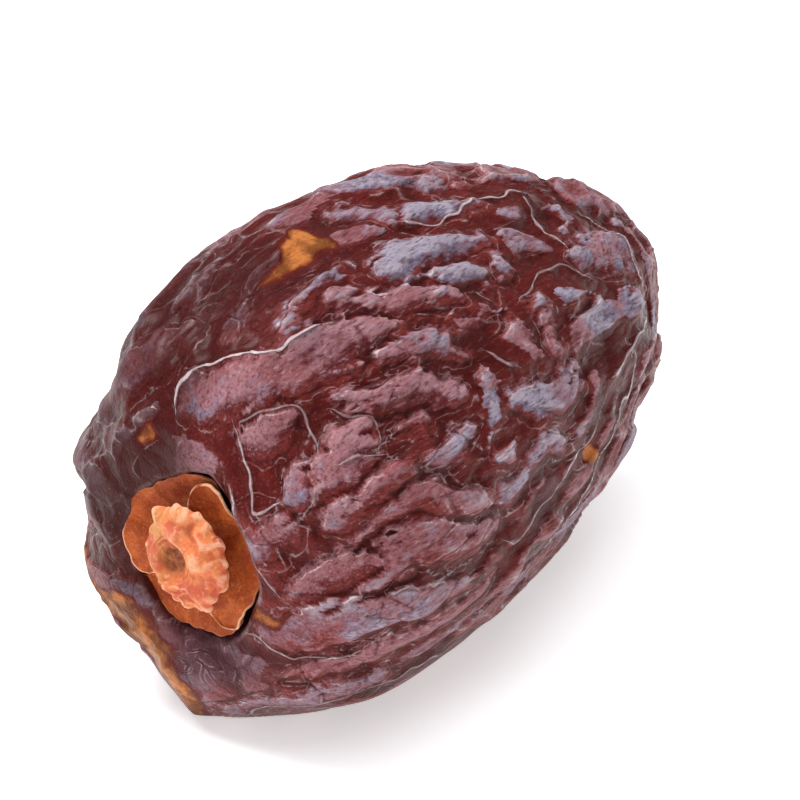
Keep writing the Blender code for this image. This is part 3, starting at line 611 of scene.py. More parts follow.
def relief(points, out, along, angle):
    """The skin's height over the plain fruit, and its fields by name."""
    moved = warped(points, out, *WANDER)
    broad = creases(moved, *BROAD_FOLDS)
    folds = creases(moved, *FOLDS)
    rough = warped(points, out, *CELL_WANDER)
    seam, seam_side, bowl, cell = facets(rough, *LARGE_CELLS)
    small_seam, _, _, small_cell = facets(rough, *SMALL_CELLS)
    wandering = warped(points, out, *PLACED_WANDER)
    ragged = warped(wandering, out, *RAGGED_EDGES)
    inside, crest, crest_side, shine, nearest, placed_tone = placed_folds(ragged, wandering, out)
    torn = SMALL_TEAR * (small_cell - 0.5) * smooth(0, 0.2, small_seam)
    torn += LARGE_TEAR * (cell - 0.5) * smooth(0, 0.3, seam)
    inside += torn
    folds += 0.5 * torn
    share = smooth(PLACED_REACH[1], PLACED_REACH[0], nearest)
    quiet = bump(along, *QUIET_ALONG) * near_angle(angle, *QUIET_ROUND)

    height = START_BROAD * BROAD_HEIGHT * np.tanh(BROAD_SHARPNESS * broad)
    height += START_FOLDS * FOLD_HEIGHT * (smooth(*FLANK, folds) - FLANK_SHARE) * (1 - 0.75 * quiet)
    placed = START_FOLDS * (PLACED_HEIGHT * smooth(*PLACED_FLANK, inside) - PLACED_DEPTH)
    placed += CROWN_HEIGHT * smooth(*CROWN, inside) + 0.15 * np.tanh(broad) + 0.15 * np.tanh(folds)
    placed += 0.1 * torn
    height += share * (placed - height)
    turned = np.tanh(2 * cloud(points, 36, 6.0) + 2 * smooth(0.5, 0.8, along))
    height += BOWL_HEIGHT * (1 - 0.4 * share) * bowl * turned * (1 - 0.6 * quiet)

    top = np.where(share > 0.5, inside + 0.1, 1.6 * (folds + 0.2) - 2 * quiet)
    height += smooth(0, 0.3, small_seam) * (0.03 + 0.08 * smooth(0.2, -0.3, top))
    tone = smooth(-0.5, 0.5, cloud(moved, 63, 4.0)) * (1 - share) + share * placed_tone
    tone += 0.4 * (cell - 0.5) + 0.4 * (small_cell - 0.5)
    bloom = (0.5 + 0.5 * smooth(-0.4, 0.4, cloud(moved, 65, 5.0))) * (1 - 0.7 * quiet * (1 - share))
    far_side = smooth(*FAR_SIDE, np.abs(angle_from(angle, SEEN_MIDDLE)))
    # Less bloom on the far side, and painted shade low on the seen side
    bloom *= 1 - FAR_LOSS * far_side - LOW_SIDE_SHADE * near_angle(angle, *LOW_SIDE)
    valley = seam + FAR * smooth(-0.4, 0.0, turned)
    seam = seam + FAR * smooth(0.3, 0.9, share) + FAR * smooth(0.0, -0.4, turned)
    fields = {
        "top": top, "tone": tone, "bloom": bloom, "crest": crest, "shine": shine, "seam": seam,
        "valley": valley, "small_seam": small_seam, "quiet": quiet, "crest_across": crest * crest_side,
        "seam_across": np.minimum(seam, valley) * seam_side,
    }
    return height, fields


def side_of_line(points, out, share, line):
    """On which side of a line on the skin each point is: -1 or 1."""
    places = np.array(curve(line))
    places = plain_fruit(places[:, 0], np.radians(places[:, 1]))
    before = np.minimum((share * (len(places) - 1)).astype(int), len(places) - 2)
    across = np.cross(places[before + 1] - places[before], out)
    return np.sign(((points - places[before]) * across).sum(1))


def placed_folds(ragged, points, out):
    """The folds and crests with a place of their own.

    For each point: the distance inside a fold, the distance from a crest, the crest's side and
    shine, the distance from the nearest fold or crest, and the tone.
    """
    inside = np.full(len(points), -PLACED_REACH[1])
    crest = np.full(len(points), FAR)
    crest_side = np.ones(len(points))
    shine = np.zeros(len(points))
    nearest = np.full(len(points), PLACED_REACH[1])
    tone = np.full(len(points), USUAL_TONE)
    for line, blueness in zip(FOLD_TOPS, FOLD_TONES):
        near, distance, _ = distance_to_line(ragged, line)
        nearest[near] = np.minimum(nearest[near], distance)
        nearer = -distance > inside[near]
        inside[near[nearer]] = -distance[nearer]
        tone[near[nearer]] = blueness
    for line, brightness in zip(CRESTS, CREST_SHINE):
        near, distance, share = distance_to_line(points, line)
        nearest[near] = np.minimum(nearest[near], distance)
        distance += CREST_TAPER * (smooth(0.12, 0, share) + smooth(0.88, 1, share))
        nearer = distance < crest[near]
        taken = near[nearer]
        crest[taken] = distance[nearer]
        crest_side[taken] = side_of_line(points[taken], out[taken], share[nearer], line)
        shine[taken] = brightness
    return inside, crest, crest_side, shine, nearest, tone


def past_hollow(along, angle):
    """How far past the hollow's floor a place on the skin is."""
    radius = np.interp(along, MERIDIAN[0], MERIDIAN[2]) * WIDTH / 2
    return np.where(along < 0.5, hollow(radius, angle)[1], FAR)


def freedom(points, past):
    """How freely the skin moves: not at all in the hollow, and little underneath."""
    near_stem = smooth(0.1, 1.0, past) * (0.4 + 0.6 * smooth(1.0, 7.0, past))
    underneath = CALM_SHARE + (1 - CALM_SHARE) * smooth(*CALM_HEIGHT, points[..., 2])
    return near_stem * underneath


def make_ball(cuts):
    """A bmesh of a cube with finely cut sides, and the place of each point on the ball it makes."""
    bm = bmesh.new()
    bmesh.ops.create_cube(bm, size=2)
    bmesh.ops.subdivide_edges(bm, edges=bm.edges, cuts=cuts, use_grid_fill=True)
    ball = np.tan(np.array([vert.co for vert in bm.verts]) * np.pi / 4)
    ball /= np.linalg.norm(ball, axis=1, keepdims=True)
    share = np.arccos(np.clip(ball[:, 2], -1, 1)) / np.pi
    return bm, share, np.arctan2(ball[:, 1], ball[:, 0])


def unit(vectors):
    return vectors / (np.linalg.norm(vectors, axis=-1, keepdims=True) + 1e-12)


class Net:
    """A skin of square faces as a net of points, joined along its edges and across its squares."""

    def __init__(self, mesh):
        self.count = len(mesh.vertices)
        corners = np.empty(4 * len(mesh.polygons), int)
        mesh.polygons.foreach_get("vertices", corners)
        self.corners = corners.reshape(-1, 4)
        edges = np.empty(2 * len(mesh.edges), int)
        mesh.edges.foreach_get("vertices", edges)
        self.edges = edges.reshape(-1, 2)
        self.ties = np.concatenate([self.edges, self.corners[:, [0, 2]], self.corners[:, [1, 3]]])
        self.weight = np.ones(len(self.ties))
        self.weight[len(self.edges):] = ACROSS_WEIGHT
        self.neighbours = np.bincount(self.edges.ravel(), minlength=self.count)
        self.pull = np.bincount(self.ties.ravel(), np.repeat(self.weight, 2), self.count)

    def gather(self, pairs, values, other):
        """Sum of the pairs' values at their first points, and of the other values at the second."""
        first, second = pairs.T
        columns = []
        for value, back in zip(values.T, other.T):
            total = np.bincount(first, value, self.count)
            columns.append(total + np.bincount(second, back, self.count))
        return np.stack(columns, 1)

    def to_neighbours(self, values):
        """From each point's value to the mean of its neighbours'."""
        first, second = self.edges.T
        sums = self.gather(self.edges, values[second], values[first])
        return sums / self.neighbours[:, None] - values

    def normals(self, points):
        """Unit normals at the points, from the squares round each."""
        a, b, c, d = (points[self.corners[:, i]] for i in range(4))
        of_squares = np.repeat(np.cross(c - a, d - b), 4, axis=0)
        columns = [np.bincount(self.corners.ravel(), values, self.count) for values in of_squares.T]
        return unit(np.stack(columns, 1))


def settle(net, plain, around, out, start, slack, limits, stiffness):
    """Let the dried skin, longer than the flesh below it, fold between its lowest and highest.

    The slack is what each point has round the piece and along it, as a share of the flesh's length.
    """
    first, second = net.ties.T
    run = plain[second] - plain[first]
    run_across = (run * unit(around[first] + around[second])).sum(1)
    run_along = np.sqrt(np.maximum((run * run).sum(1) - run_across ** 2, 0))
    slack_around, slack_along = slack
    grown_across = run_across * (1 + (slack_around[first] + slack_around[second]) / 2)
    grown_along = run_along * (1 + (slack_along[first] + slack_along[second]) / 2)
    rest = np.hypot(grown_across, grown_along)
    lowest, highest = limits
    points = start.copy()
    speed = np.zeros_like(points)
    for _ in range(SETTLING_STEPS):
        run = points[second] - points[first]
        length = np.sqrt((run * run).sum(1)) + 1e-9
        push = (net.weight * 0.5 * (length - rest) / length)[:, None] * run
        speed = SPEED_KEPT * speed + net.gather(net.ties, push, -push) * (SPEED_GAINED / net.pull)[:, None]
        points = points + speed
        points = points - stiffness * net.to_neighbours(net.to_neighbours(points))
        offset = points - plain
        height = (offset * out).sum(1, keepdims=True)
        slide = offset - height * out
        slide *= np.minimum(1, LONGEST_SLIDE / (np.linalg.norm(slide, axis=1, keepdims=True) + 1e-9))
        height += BROUGHT_BACK * (np.clip(height, lowest[:, None], highest[:, None]) - height)
        points = plain + slide + height * out
        points += HOLD * (start - points)
    return points


def bulge(net, points, passes):
    """How far each point stands out of the surface round it, beside what is usual."""
    smoother = points
    for _ in range(passes):
        smoother = smoother + 0.8 * net.to_neighbours(smoother)
    out = ((points - smoother) * net.normals(smoother)).sum(1)
    return out / out.std()


def facing(net, points, values, direction):
    """How far the side on which values fall faces a direction, from -1 to 1."""
    first, second = net.edges.T
    run = points[second] - points[first]
    rise = ((values[second] - values[first]) / (run * run).sum(1))[:, None] * run
    return -(unit(net.gather(net.edges, rise, rise)) * direction).sum(1)


def ridge(name, distance):
    """Height of one of RIDGES by the distance that it follows."""
    height, middle, spread = RIDGES[name]
    return height * bump(distance, middle, spread)


def set_fields(mesh, fields):
    for name, values in fields.items():
        field = mesh.attributes.new(name, "FLOAT", "POINT")
        field.data.foreach_set("value", np.asarray(values, np.float32))


def new_mesh(name, bm):
    mesh = bpy.data.meshes.new(name)
    bm.to_mesh(mesh)
    bm.free()
    return mesh


def new_object(name, data):
    thing = bpy.data.objects.new(name, data)
    bpy.context.scene.collection.objects.link(thing)
    return thing


def finish_piece(mesh, points, node, paint):
    """Move a piece's points to their places and let it stand for its node."""
    mesh.vertices.foreach_set("co", ((points - (*MIDDLE, 0)) * MM).ravel())
    mesh.update()
    mesh.shade_smooth()
    mesh.materials.append(paint)
    piece = new_object(mesh.name, mesh)
    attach(piece, "root")
    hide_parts(node)


def make_fruit(paint):
    """The skin, settled into wrinkles over the whole fruit, and the fields its paint reads."""
    bm, even, angle = make_ball(BALL_CUTS)
    bmesh.ops.reverse_faces(bm, faces=bm.faces)
    mesh = new_mesh("fruit_skin", bm)
    net = Net(mesh)
    along = even - RING_CROWDING * np.sin(2 * np.pi * even) / (2 * np.pi)
    plain = plain_fruit(along, angle)
    around, out = directions(along, angle)[1:]
    past = past_hollow(along, angle)
    height, fields = relief(plain, out, along, angle)
    loose = freedom(plain, past)
    points = start = plain + out * (height * loose)[:, None]
    patch = cloud(plain, 61, 9.0)
    slack = loose * (1 - 0.8 * fields["quiet"]) * (0.6 + 0.9 * smooth(0.2, -0.4, fields["top"]))
    slack_around = SLACK_AROUND * (1 + 0.5 * patch) * slack
    slack_along = SLACK_ALONG * (1 - 0.4 * patch) * slack * (1 + 2 * smooth(0.7, 0.95, along))
    limits = (SKIN_RANGE[0] * loose - SKIN_PLAY, SKIN_RANGE[1] * loose + SKIN_PLAY)
    points = settle(net, plain, around, out, start, (slack_around, slack_along), limits, STIFFNESS)
    for _ in range(SMOOTHING_PASSES):
        points = points + 0.5 * net.to_neighbours(points)

    top = fields["top"] = np.where(past > 0.5, fields["top"], -2)
    side = fields["side"] = facing(net, points, top, FOLD_LEAN)
    raised = ridge("crest", fields["crest"]) * fields["shine"] * smooth(0, 0.4, loose)
    raised += loose * (ridge("seam", fields["seam"]) + ridge("valley", fields["valley"]))
    raised += loose * (ridge("lip", top) * smooth(0.1, 0.8, side) + ridge("tilt", top) * side)
    raised += loose * ridge("groove", top) * smooth(0.0, -0.7, side)
    points += net.normals(points) * raised[:, None]
    points[:, 2] = np.maximum(points[:, 2], underside(points))

    fields["stands_out"] = bulge(net, points, 6)
    fields["swells"] = bulge(net, points, 40)
    fields["wall"] = smooth(*WALL_ZONE, past)
    above = smooth(*FLANK_SHADE_ROUND, angle_from(angle, 0)) * (angle > 0)
    fields["flank_shade"] = smooth(*FLANK_SHADE_ALONG, along) * above
    fields["brown_and_shade"] = smooth(*BROWN_SHADE_ZONE, past) * near_angle(angle, *BROWN_SHADE_SIDE)
    fields["plum"] = smooth(*PLUM_ZONE, past) * near_angle(angle, *PLUM_SIDE)
    glow = fields["amber"] = np.full(len(plain), -FAR)
    wavy = warped(plain, out, *AMBER_WANDER)
    for line in AMBER:
        near, distance, _ = distance_to_line(wavy, line)
        glow[near] = np.maximum(glow[near], -distance)
    set_fields(mesh, fields)
    finish_piece(mesh, points, "fruit", paint)


def make_petal(name, paint):
    """A thin dry petal, dished, with a rounded outline and a raised rim."""
    start, end, lift_start, lift_end = PETALS[name]
    bm = bmesh.new()
    bmesh.ops.create_grid(bm, x_segments=PETAL_CUTS[0], y_segments=PETAL_CUTS[1], size=0.5)
    flat = np.array([vert.co for vert in bm.verts]) + 0.5
    angle = np.radians(start + (end - start) * flat[:, 0])
    from_start = np.degrees(angle) - start
    from_end = end - np.degrees(angle)
    side = np.minimum(from_start, from_end)
    rise = (PETAL_LAP + PETAL_RISE[0], PETAL_LAP + PETAL_RISE[1])
    lift = lift_start * smooth(*rise, from_start) + lift_end * smooth(*rise, from_end)
    outline = petal_reach(angle) + PETAL_EXTRA + TOP_EXTRA * near_angle(angle, *PETAL_TOP)
    outline += 0.05 * np.cos(9 * angle) + 0.05 * np.sin(17 * angle + start) + 0.04 * np.sin(31 * angle)
    outline -= CORNER_DEPTH * np.clip(1 - side / CORNER_DEGREES, 0, 1) ** 2.2
    to_fold = np.cos(np.radians(angle_from(angle, FOLD_ANGLE)))
    outline = np.minimum(outline, (FOLD_DISTANCE + PAST_FOLD) / np.maximum(to_fold, 0.01))
    radius = PETAL_ROOT + (outline - PETAL_ROOT) * flat[:, 1]
    rest = HOLLOW_DEPTH - GAP - PETAL_FLOOR_PLAY - lift * (PETAL_THICKNESS + GAP + PETAL_PLAY)
    places = np.stack([rest, radius * np.cos(angle), radius * np.sin(angle) + AXIS_HEIGHT], -1)

    to_rim = np.minimum((1 - flat[:, 1]) * (outline - PETAL_ROOT), np.radians(side) * radius)
    crinkle = 0.1 * cloud(places, 92, 1.9) + 0.05 * cloud(places, 93, 0.7)
    crinkle += 0.04 * np.abs(cloud(places, 95, 1.1))
    dish = 0.16 * smooth(2.0, 0.0, to_rim) + 0.12 * smooth(0.3, 0.0, to_rim) * lift
    dish *= 1 + 0.6 * cloud(places, 94, 1.8)
    open_side = near_angle(angle, 40, 70) + 0.6 * near_angle(angle, 250, 30)
    dish += PETAL_CURL * open_side * smooth(1.9, 0.0, to_rim) * (1 - lift)
    places[:, 0] += PETAL_SHEET - PETAL_THICKNESS + crinkle - dish
    for vert, place in zip(bm.verts, places):
        vert.co = place
    bmesh.ops.recalc_face_normals(bm, faces=bm.faces)
    if sum(face.normal.x for face in bm.faces) > 0:
        bmesh.ops.reverse_faces(bm, faces=bm.faces)
    rim_field = bm.verts.layers.float.new("rim")
    edge_field = bm.verts.layers.float.new("edge")
    for vert, inward, raised in zip(bm.verts, to_rim, lift):
        vert[rim_field] = inward
        vert[edge_field] = raised
    bmesh.ops.solidify(bm, geom=bm.faces, thickness=PETAL_SHEET)
    points = np.array([vert.co for vert in bm.verts])
    finish_piece(new_mesh(name + "_dry", bm), points, name, paint)


def ripples(angle, waves):
    return sum(amount * np.cos(count * angle + turn) for amount, count, turn in waves)


def make_calyx(paint):
    """A crumpled cushion on a short stalk, with the scar of the stem sunk in it."""
    bm, share, angle = make_ball(CALYX_CUTS)
    mesh = new_mesh("calyx_dry", bm)
    net = Net(mesh)
    profile = curve(CALYX_PROFILE, 12)
    run = np.concatenate([[0], np.cumsum(np.hypot(*np.diff(profile, axis=0).T))])
    radius = np.interp(share, run / run[-1], profile[:, 0])
    height = np.interp(share, run / run[-1], profile[:, 1])
    lip = smooth(2.3, 3.2, radius)
    wave = ripples(angle, CALYX_WAVES)
    lifted = ripples(angle, LIP_LIFTS)
    for middle, spread, extra, lift in CALYX_CURLS:
        curl = near_angle(angle, middle, spread)
        wave = wave + extra * curl
        lifted = lifted + lift * curl
    shaped = radius + lip * wave
    height = height + lip * lifted
    for mound_angle, spread, middle, width, rise in CALYX_MOUNDS:
        height = height + rise * near_angle(angle, mound_angle, spread) * bump(radius, middle, width)
    lean = smooth(*STALK_TOP, height)
    hole = smooth(0.6, 0.8, share)
    height = height + 0.4 * smooth(0.85, 0.95, share)
    y = shaped * CALYX_STRETCH[0] * np.cos(angle) + lean * CALYX_LEAN[0] + hole * CALYX_HOLE[0]
    z = shaped * CALYX_STRETCH[1] * np.sin(angle) + lean * CALYX_LEAN[1] + hole * CALYX_HOLE[1]
    plain = np.stack([HOLLOW_DEPTH - GAP - height, y, z + AXIS_HEIGHT], -1)

    free = smooth(0.3, 0.45, share) * smooth(0.9, 0.8, share)
    free *= 1 - 0.6 * near_angle(angle, SMOOTH_SIDE, 55)
    out = net.normals(plain)
    around = np.stack([np.zeros_like(angle), -np.sin(angle), np.cos(angle)], 1)
    bent = warped(plain, out, *CALYX_WANDER)
    crumple = 0.42 * cloud(bent, 107, 1.5) + 0.2 * cloud(bent, 108, 0.8)
    points = start = plain + out * (free * crumple)[:, None]
    slack = CALYX_SLACK * free
    limits = (CALYX_RANGE[0] * free, CALYX_RANGE[1] * free)
    points = settle(net, plain, around, out, start, (slack, slack), limits, CALYX_STIFFNESS)
    smooth_side = near_angle(angle, SMOOTH_SIDE, 60) * smooth(0.5, 0.62, share)
    fields = {"pit": smooth(0.83, 0.92, share), "smooth_side": smooth_side}
    set_fields(mesh, {**fields, "stands_out": bulge(net, points, 12)})
    finish_piece(mesh, points, "calyx", paint)


class Wire:
    """One output of a node. Sums and products of wires add Math nodes."""

    def __init__(self, paint, socket):
        self.paint = paint
        self.socket = socket

    def math(self, operation, *values):
        return self.paint.add("ShaderNodeMath", {"operation": operation}, dict(enumerate(values)))

    def __add__(self, other):
        return self.math("ADD", self, other)

    def __radd__(self, other):
        return self.math("ADD", other, self)

    def __sub__(self, other):
        return self.math("SUBTRACT", self, other)

    def __rsub__(self, other):
        return self.math("SUBTRACT", other, self)

    def __mul__(self, other):
        return self.math("MULTIPLY", self, other)

    def __rmul__(self, other):
        return self.math("MULTIPLY", other, self)

    def __abs__(self):
        return self.math("ABSOLUTE", self)

    def step(self, low, high):
        """0 below low, 1 above high, smooth between."""
        inputs = {"Value": self, "From_Min": low, "From_Max": high}
        return self.paint.add("ShaderNodeMapRange", {"interpolation_type": "SMOOTHSTEP"}, inputs)


class Paint:
    """A material and its nodes."""

    def __init__(self, name, **settings):
        self.material = bpy.data.materials.new(name)
        self.material.use_nodes = True
        self.nodes = self.material.node_tree.nodes
        self.finish(**settings)

    def connect(self, node, inputs):
        for name, value in inputs.items():
            socket = node.inputs[name.replace("_", " ") if isinstance(name, str) else name]
            if isinstance(value, Wire):
                self.material.node_tree.links.new(value.socket, socket)
            elif isinstance(value, tuple) and len(value) == 3 and socket.type == "RGBA":
                socket.default_value = (*value, 1)
            else:
                socket.default_value = value

    def add(self, kind, settings, inputs, output=0):
        """A new node: its settings are made first, then its inputs are set or linked."""
        node = self.nodes.new(kind)
        for name, value in settings.items():
            setattr(node, name, value)
        self.connect(node, inputs)
        return Wire(self, node.outputs[output])

    def fields(self, *names):
        return [self.add("ShaderNodeAttribute", {"attribute_name": name}, {}, "Fac") for name in names]

    def noise(self, size, detail=2.0, roughness=0.5, distortion=0.0, along=1):
        """Noise by size in millimetres; an along below 1 makes it longer from stem to tip."""
        place = self.add("ShaderNodeTexCoord", {}, {}, "Object")
        stretch = {0: place, 1: (along / MM, 1 / MM, 1 / MM)}
        place = self.add("ShaderNodeVectorMath", {"operation": "MULTIPLY"}, stretch)
        inputs = {"Vector": place, "Scale": 1 / size, "Detail": detail}
        inputs.update(Roughness=roughness, Distortion=distortion)
        return self.add("ShaderNodeTexNoise", {}, inputs, "Fac")

    def mix(self, share, first, second):
        return self.add("ShaderNodeMix", {"data_type": "RGBA"}, {0: share, 6: first, 7: second}, 2)

    def coats(self, colour, *coats):
        """Tints over a colour, one after the other, each given as its share and itself."""
        for share, tint in coats:
            colour = self.mix(share, colour, tint)
        return colour

    def bumps(self, height, strength):
        inputs = {"Height": height, "Distance": MM, "Strength": strength}
        return self.add("ShaderNodeBump", {}, inputs, "Normal")

    def finish(self, **inputs):
        """Set or link inputs of the surface itself."""
        self.connect(self.nodes["Principled BSDF"], inputs)
        return self.material


def skin_paint():
    """Dark red flanks, bloom on fold tops, painted highlights on lips and crests, painted shade in
    creases, and amber patches.
    """
    paint = Paint("date_skin", Specular_IOR_Level=0.16, Coat_Roughness=0.2, Coat_IOR=1.4, IOR=1.4)
    paint.finish(Specular_Tint=HIGHLIGHT_RED)
    top, tone, bloom, crest, shine, seam = paint.fields("top", "tone", "bloom", "crest", "shine", "seam")
    small_seam, side, stands_out, swells = paint.fields("small_seam", "side", "stands_out", "swells")
    valley, brown_and_shade, plum, amber, quiet = paint.fields("valley", "brown_and_shade", "plum", "amber", "quiet")
    wall, flank_shade, crest_across, seam_across = paint.fields("wall", "flank_shade", "crest_across", "seam_across")
    from_crest = abs(crest_across) + FAR * crest.step(0.35, 0.5)
    from_valley = abs(seam_across) + FAR * valley.step(0.3, 0.45)
    from_seam = abs(seam_across) + FAR * seam.step(0.3, 0.45)
    patches = paint.noise(5.0, 3)
    clouds = paint.noise(1.3, 4, 0.6, 0.6)
    streaks = paint.noise(0.45, 4, 0.6, 0.4, along=0.35)
    frost = paint.noise(0.55, 5, 0.7, 0.2, along=0.5)
    fibre = paint.noise(0.2, 4, 0.65, 0.2, along=0.25)
    grain = paint.noise(0.22, 3, 0.65)
    speckle = paint.noise(0.15, 2, 0.7).step(0.6, 0.75)
    broken = (clouds + 0.3 * streaks).step(0.56, 0.68)

    # Tops of folds, and what follows their edges
    # Painted light: slope lightens each top on its side toward FOLD_LEAN and darkens its far side
    slope = side * top.step(1.3, 0.2)
    ragged = top + 1.5 * (clouds - 0.5) + 1.5 * (streaks - 0.5) + 0.7 * (fibre - 0.5)
    on_top = (ragged + 0.35 * slope).step(-0.45, 0.55)
    # lip: a painted highlight along a top's edge on its side toward FOLD_LEAN
    lip = top.step(-0.04, 0.02) * top.step(0.14, 0.06) * side.step(0.0, 0.6) * clouds.step(0.42, 0.55)
    # below: a painted shadow just outside a top's edge, darkest on its far side
    below = top.step(-0.36, -0.16) * top.step(0.04, -0.06) * streaks.step(0.35, 0.55)
    # echo: a painted highlight on a second line outside a top's edge
    echo = top.step(-0.62, -0.55) * top.step(-0.45, -0.52) * broken

    # Thin lines along crests, seams and furrows between cells, and folds: pale ones are painted
    # highlights, dark ones painted shade
    crest_edge = from_crest - 0.08 * shine + 0.16 * (streaks - 0.5) + 0.1 * (frost - 0.5)
    crest_line = crest_edge.step(0.07, 0.0) * (clouds + 0.3 * shine).step(0.42, 0.56)
    seam_line = from_seam.step(0.10, 0.03) * clouds.step(0.38, 0.5)
    furrow = small_seam.step(0.15, 0.0) * (1 - 0.5 * on_top)
    fold_line = from_valley.step(0.11, 0.02) * streaks.step(0.35, 0.5)
    beside_fold = from_valley.step(0.12, 0.16) * from_valley.step(0.26, 0.2) * clouds.step(0.48, 0.58)
    wrinkle_highlight = stands_out.step(1.0, 2.2) * patches.step(0.35, 0.6)

    # Red flanks, wine red tops, and blue bloom with a painted white sheen in it
    # warm: lighter red high in the relief and deep red low in it, partly the skin's own colour and partly
    # painted shade
    warm = (top + 0.5 * swells + 1.5 * (clouds - 0.5)).step(-1.1, 0.6)
    # lit: the wine red tops lighter by noise, and by swells and slope as painted light
    lit = 0.7 * clouds + 0.6 * streaks + 0.12 * swells + 0.4 * slope + 0.15 * (tone - 0.4)
    blueness = tone + 1.0 * (patches - 0.5) + 1.5 * (frost - 0.5) + 0.15 * swells
    frosted = (ragged + 0.3 * slope).step(-0.15, 0.3) * blueness.step(0.55, 1.0) * bloom
    # sheen: a painted highlight on the bloom, on a top's side toward FOLD_LEAN
    sheen = (blueness + 0.6 * slope + 0.8 * (streaks - 0.5)).step(0.85, 1.35)
    colour = paint.coats(
        paint.mix(patches.step(0.35, 0.65), *DEEP_REDS),
        (warm, WARM_RED),
        (quiet * 0.8, QUIET_RED),
        (on_top * bloom, paint.mix(lit.step(0.4, 0.86), *WINES)),
        (frosted, paint.mix(frost.step(0.35, 0.65), *BLUES)),
        (frosted * sheen * 0.5, SHEEN_WHITE),
        (fibre.step(0.5, 0.34) * 0.65, DARK_FIBRE),
        (fibre.step(0.54, 0.7) * (0.12 + 0.33 * on_top), PALE_FIBRE),
    )

    # Browner skin round the stem, painted shade on the upper flank, then painted shade in pits, under far
    # edges and along creases, and the pale lines
    shaded = clouds.step(0.25, 0.6)
    colour = paint.coats(
        colour,
        (flank_shade * (0.7 + 0.5 * (clouds - 0.5)), FLANK_SHADE_RED),
        (brown_and_shade, paint.mix(clouds.step(0.3, 0.7), *BROWNS)),
        (wall * 0.7, WALL_BROWN),
        (plum, paint.mix(clouds.step(0.3, 0.7), *PLUMS)),
        (stands_out.step(-0.4, -2.4) * 0.55, PIT_SHADE),
        (below * (0.1 + 0.5 * side.step(0.1, -0.6)), SHADE_DARK),
        (furrow * 0.3 + fold_line * 0.55, FURROW_SHADE),
        (crest.step(0.34, 0.16) * 0.6, CREST_SHADE),
    )
    # The pale lines are painted highlights: lips, echoes, seams, beside folds, wrinkles and crests
    light = lip * 0.65 + echo * 0.3 + seam_line * 0.25 + beside_fold * 0.35 + wrinkle_highlight * 0.25
    light = light + crest_line * (0.25 + 0.6 * shine)
    pale = paint.mix((streaks + 0.5 * (patches - 0.5)).step(0.45, 0.65), *HIGHLIGHT_PALES)
    pale = paint.mix(crest_line * shine * shine * 0.45, pale, CREST_HIGHLIGHT)

    # Amber patches with a dark border, over which only the speckles lie
    reach = amber + 0.8 * (clouds - 0.5) + 0.3 * (streaks - 0.5)
    honey = paint.coats(
        paint.mix((patches + 0.6 * (clouds - 0.5)).step(0.4, 0.6), *HONEYS),
        (grain.step(0.5, 0.7) * 0.3, HONEY_GRAIN),
        (reach.step(0.9, 1.3) * 0.25, HONEY_PALE),
    )
    colour = paint.coats(
        colour,
        (light, pale),
        # painted shade beside the stem, on the upper flank and on the calm stretch
        (brown_and_shade * 0.5 + flank_shade * 0.3 * shaded + quiet * 0.3 * shaded, SHADED_BROWN),
        (reach.step(-0.45, -0.15), HONEY_RIM),
        (reach.step(-0.15, 0.35), honey),
        (speckle * (0.06 + 0.2 * on_top), SPECKLE),
    )
    height = 0.05 * (top + 0.3 * (frost - 0.5)).step(-0.12, 0.14) + 0.12 * crest_line + 0.06 * seam_line
    height = height + 0.05 * echo - 0.05 * furrow
    height = height + 0.07 * streaks + 0.03 * grain + 0.05 * frost + 0.05 * fibre
    return paint.finish(
        Base_Color=colour,
        Roughness=0.4 + 0.12 * on_top + 0.2 * (grain - 0.5) - 0.1 * crest_line,
        Coat_Weight=0.08 + 0.6 * light,
        Normal=paint.bumps(height, 0.75),
    )


def petal_paint():
    """Thin brown leaf with dark and light veins and a painted highlight on its rim."""
    paint = Paint("dry_petal", IOR=1.4, Specular_IOR_Level=0.3)
    clouds = paint.noise(1.6, 4, 0.6, 0.5)
    blots = paint.noise(0.5, 4, 0.7, 0.4)
    grain = paint.noise(0.16, 3, 0.7)
    veins = paint.noise(0.35, 5, 0.75, 2.0)
    to_rim, edge = paint.fields("rim", "edge")
    rim = (to_rim + 0.1 * (blots - 0.5)).step(0.12, 0.03) * clouds.step(0.36, 0.46)
    colour = paint.coats(
        paint.mix(clouds.step(0.35, 0.65), *PETAL_BROWNS),
        (blots.step(0.48, 0.7) * 0.55, PETAL_BLOT),
        (veins.step(0.52, 0.66) * 0.5, PETAL_VEIN),
        (veins.step(0.46, 0.36) * 0.35, PETAL_LIGHT),
        (grain.step(0.5, 0.75) * 0.4, PETAL_GRAIN),
        # painted highlight on the rim, stronger where the petal is lifted over its neighbour
        (rim * 0.15 + rim * edge * 0.6, PETAL_RIM_HIGHLIGHT),
    )
    bumps = paint.bumps(0.05 * grain + 0.1 * blots + 0.07 * veins, 0.9)
    return paint.finish(Base_Color=colour, Roughness=0.45 + 0.2 * grain, Normal=bumps)


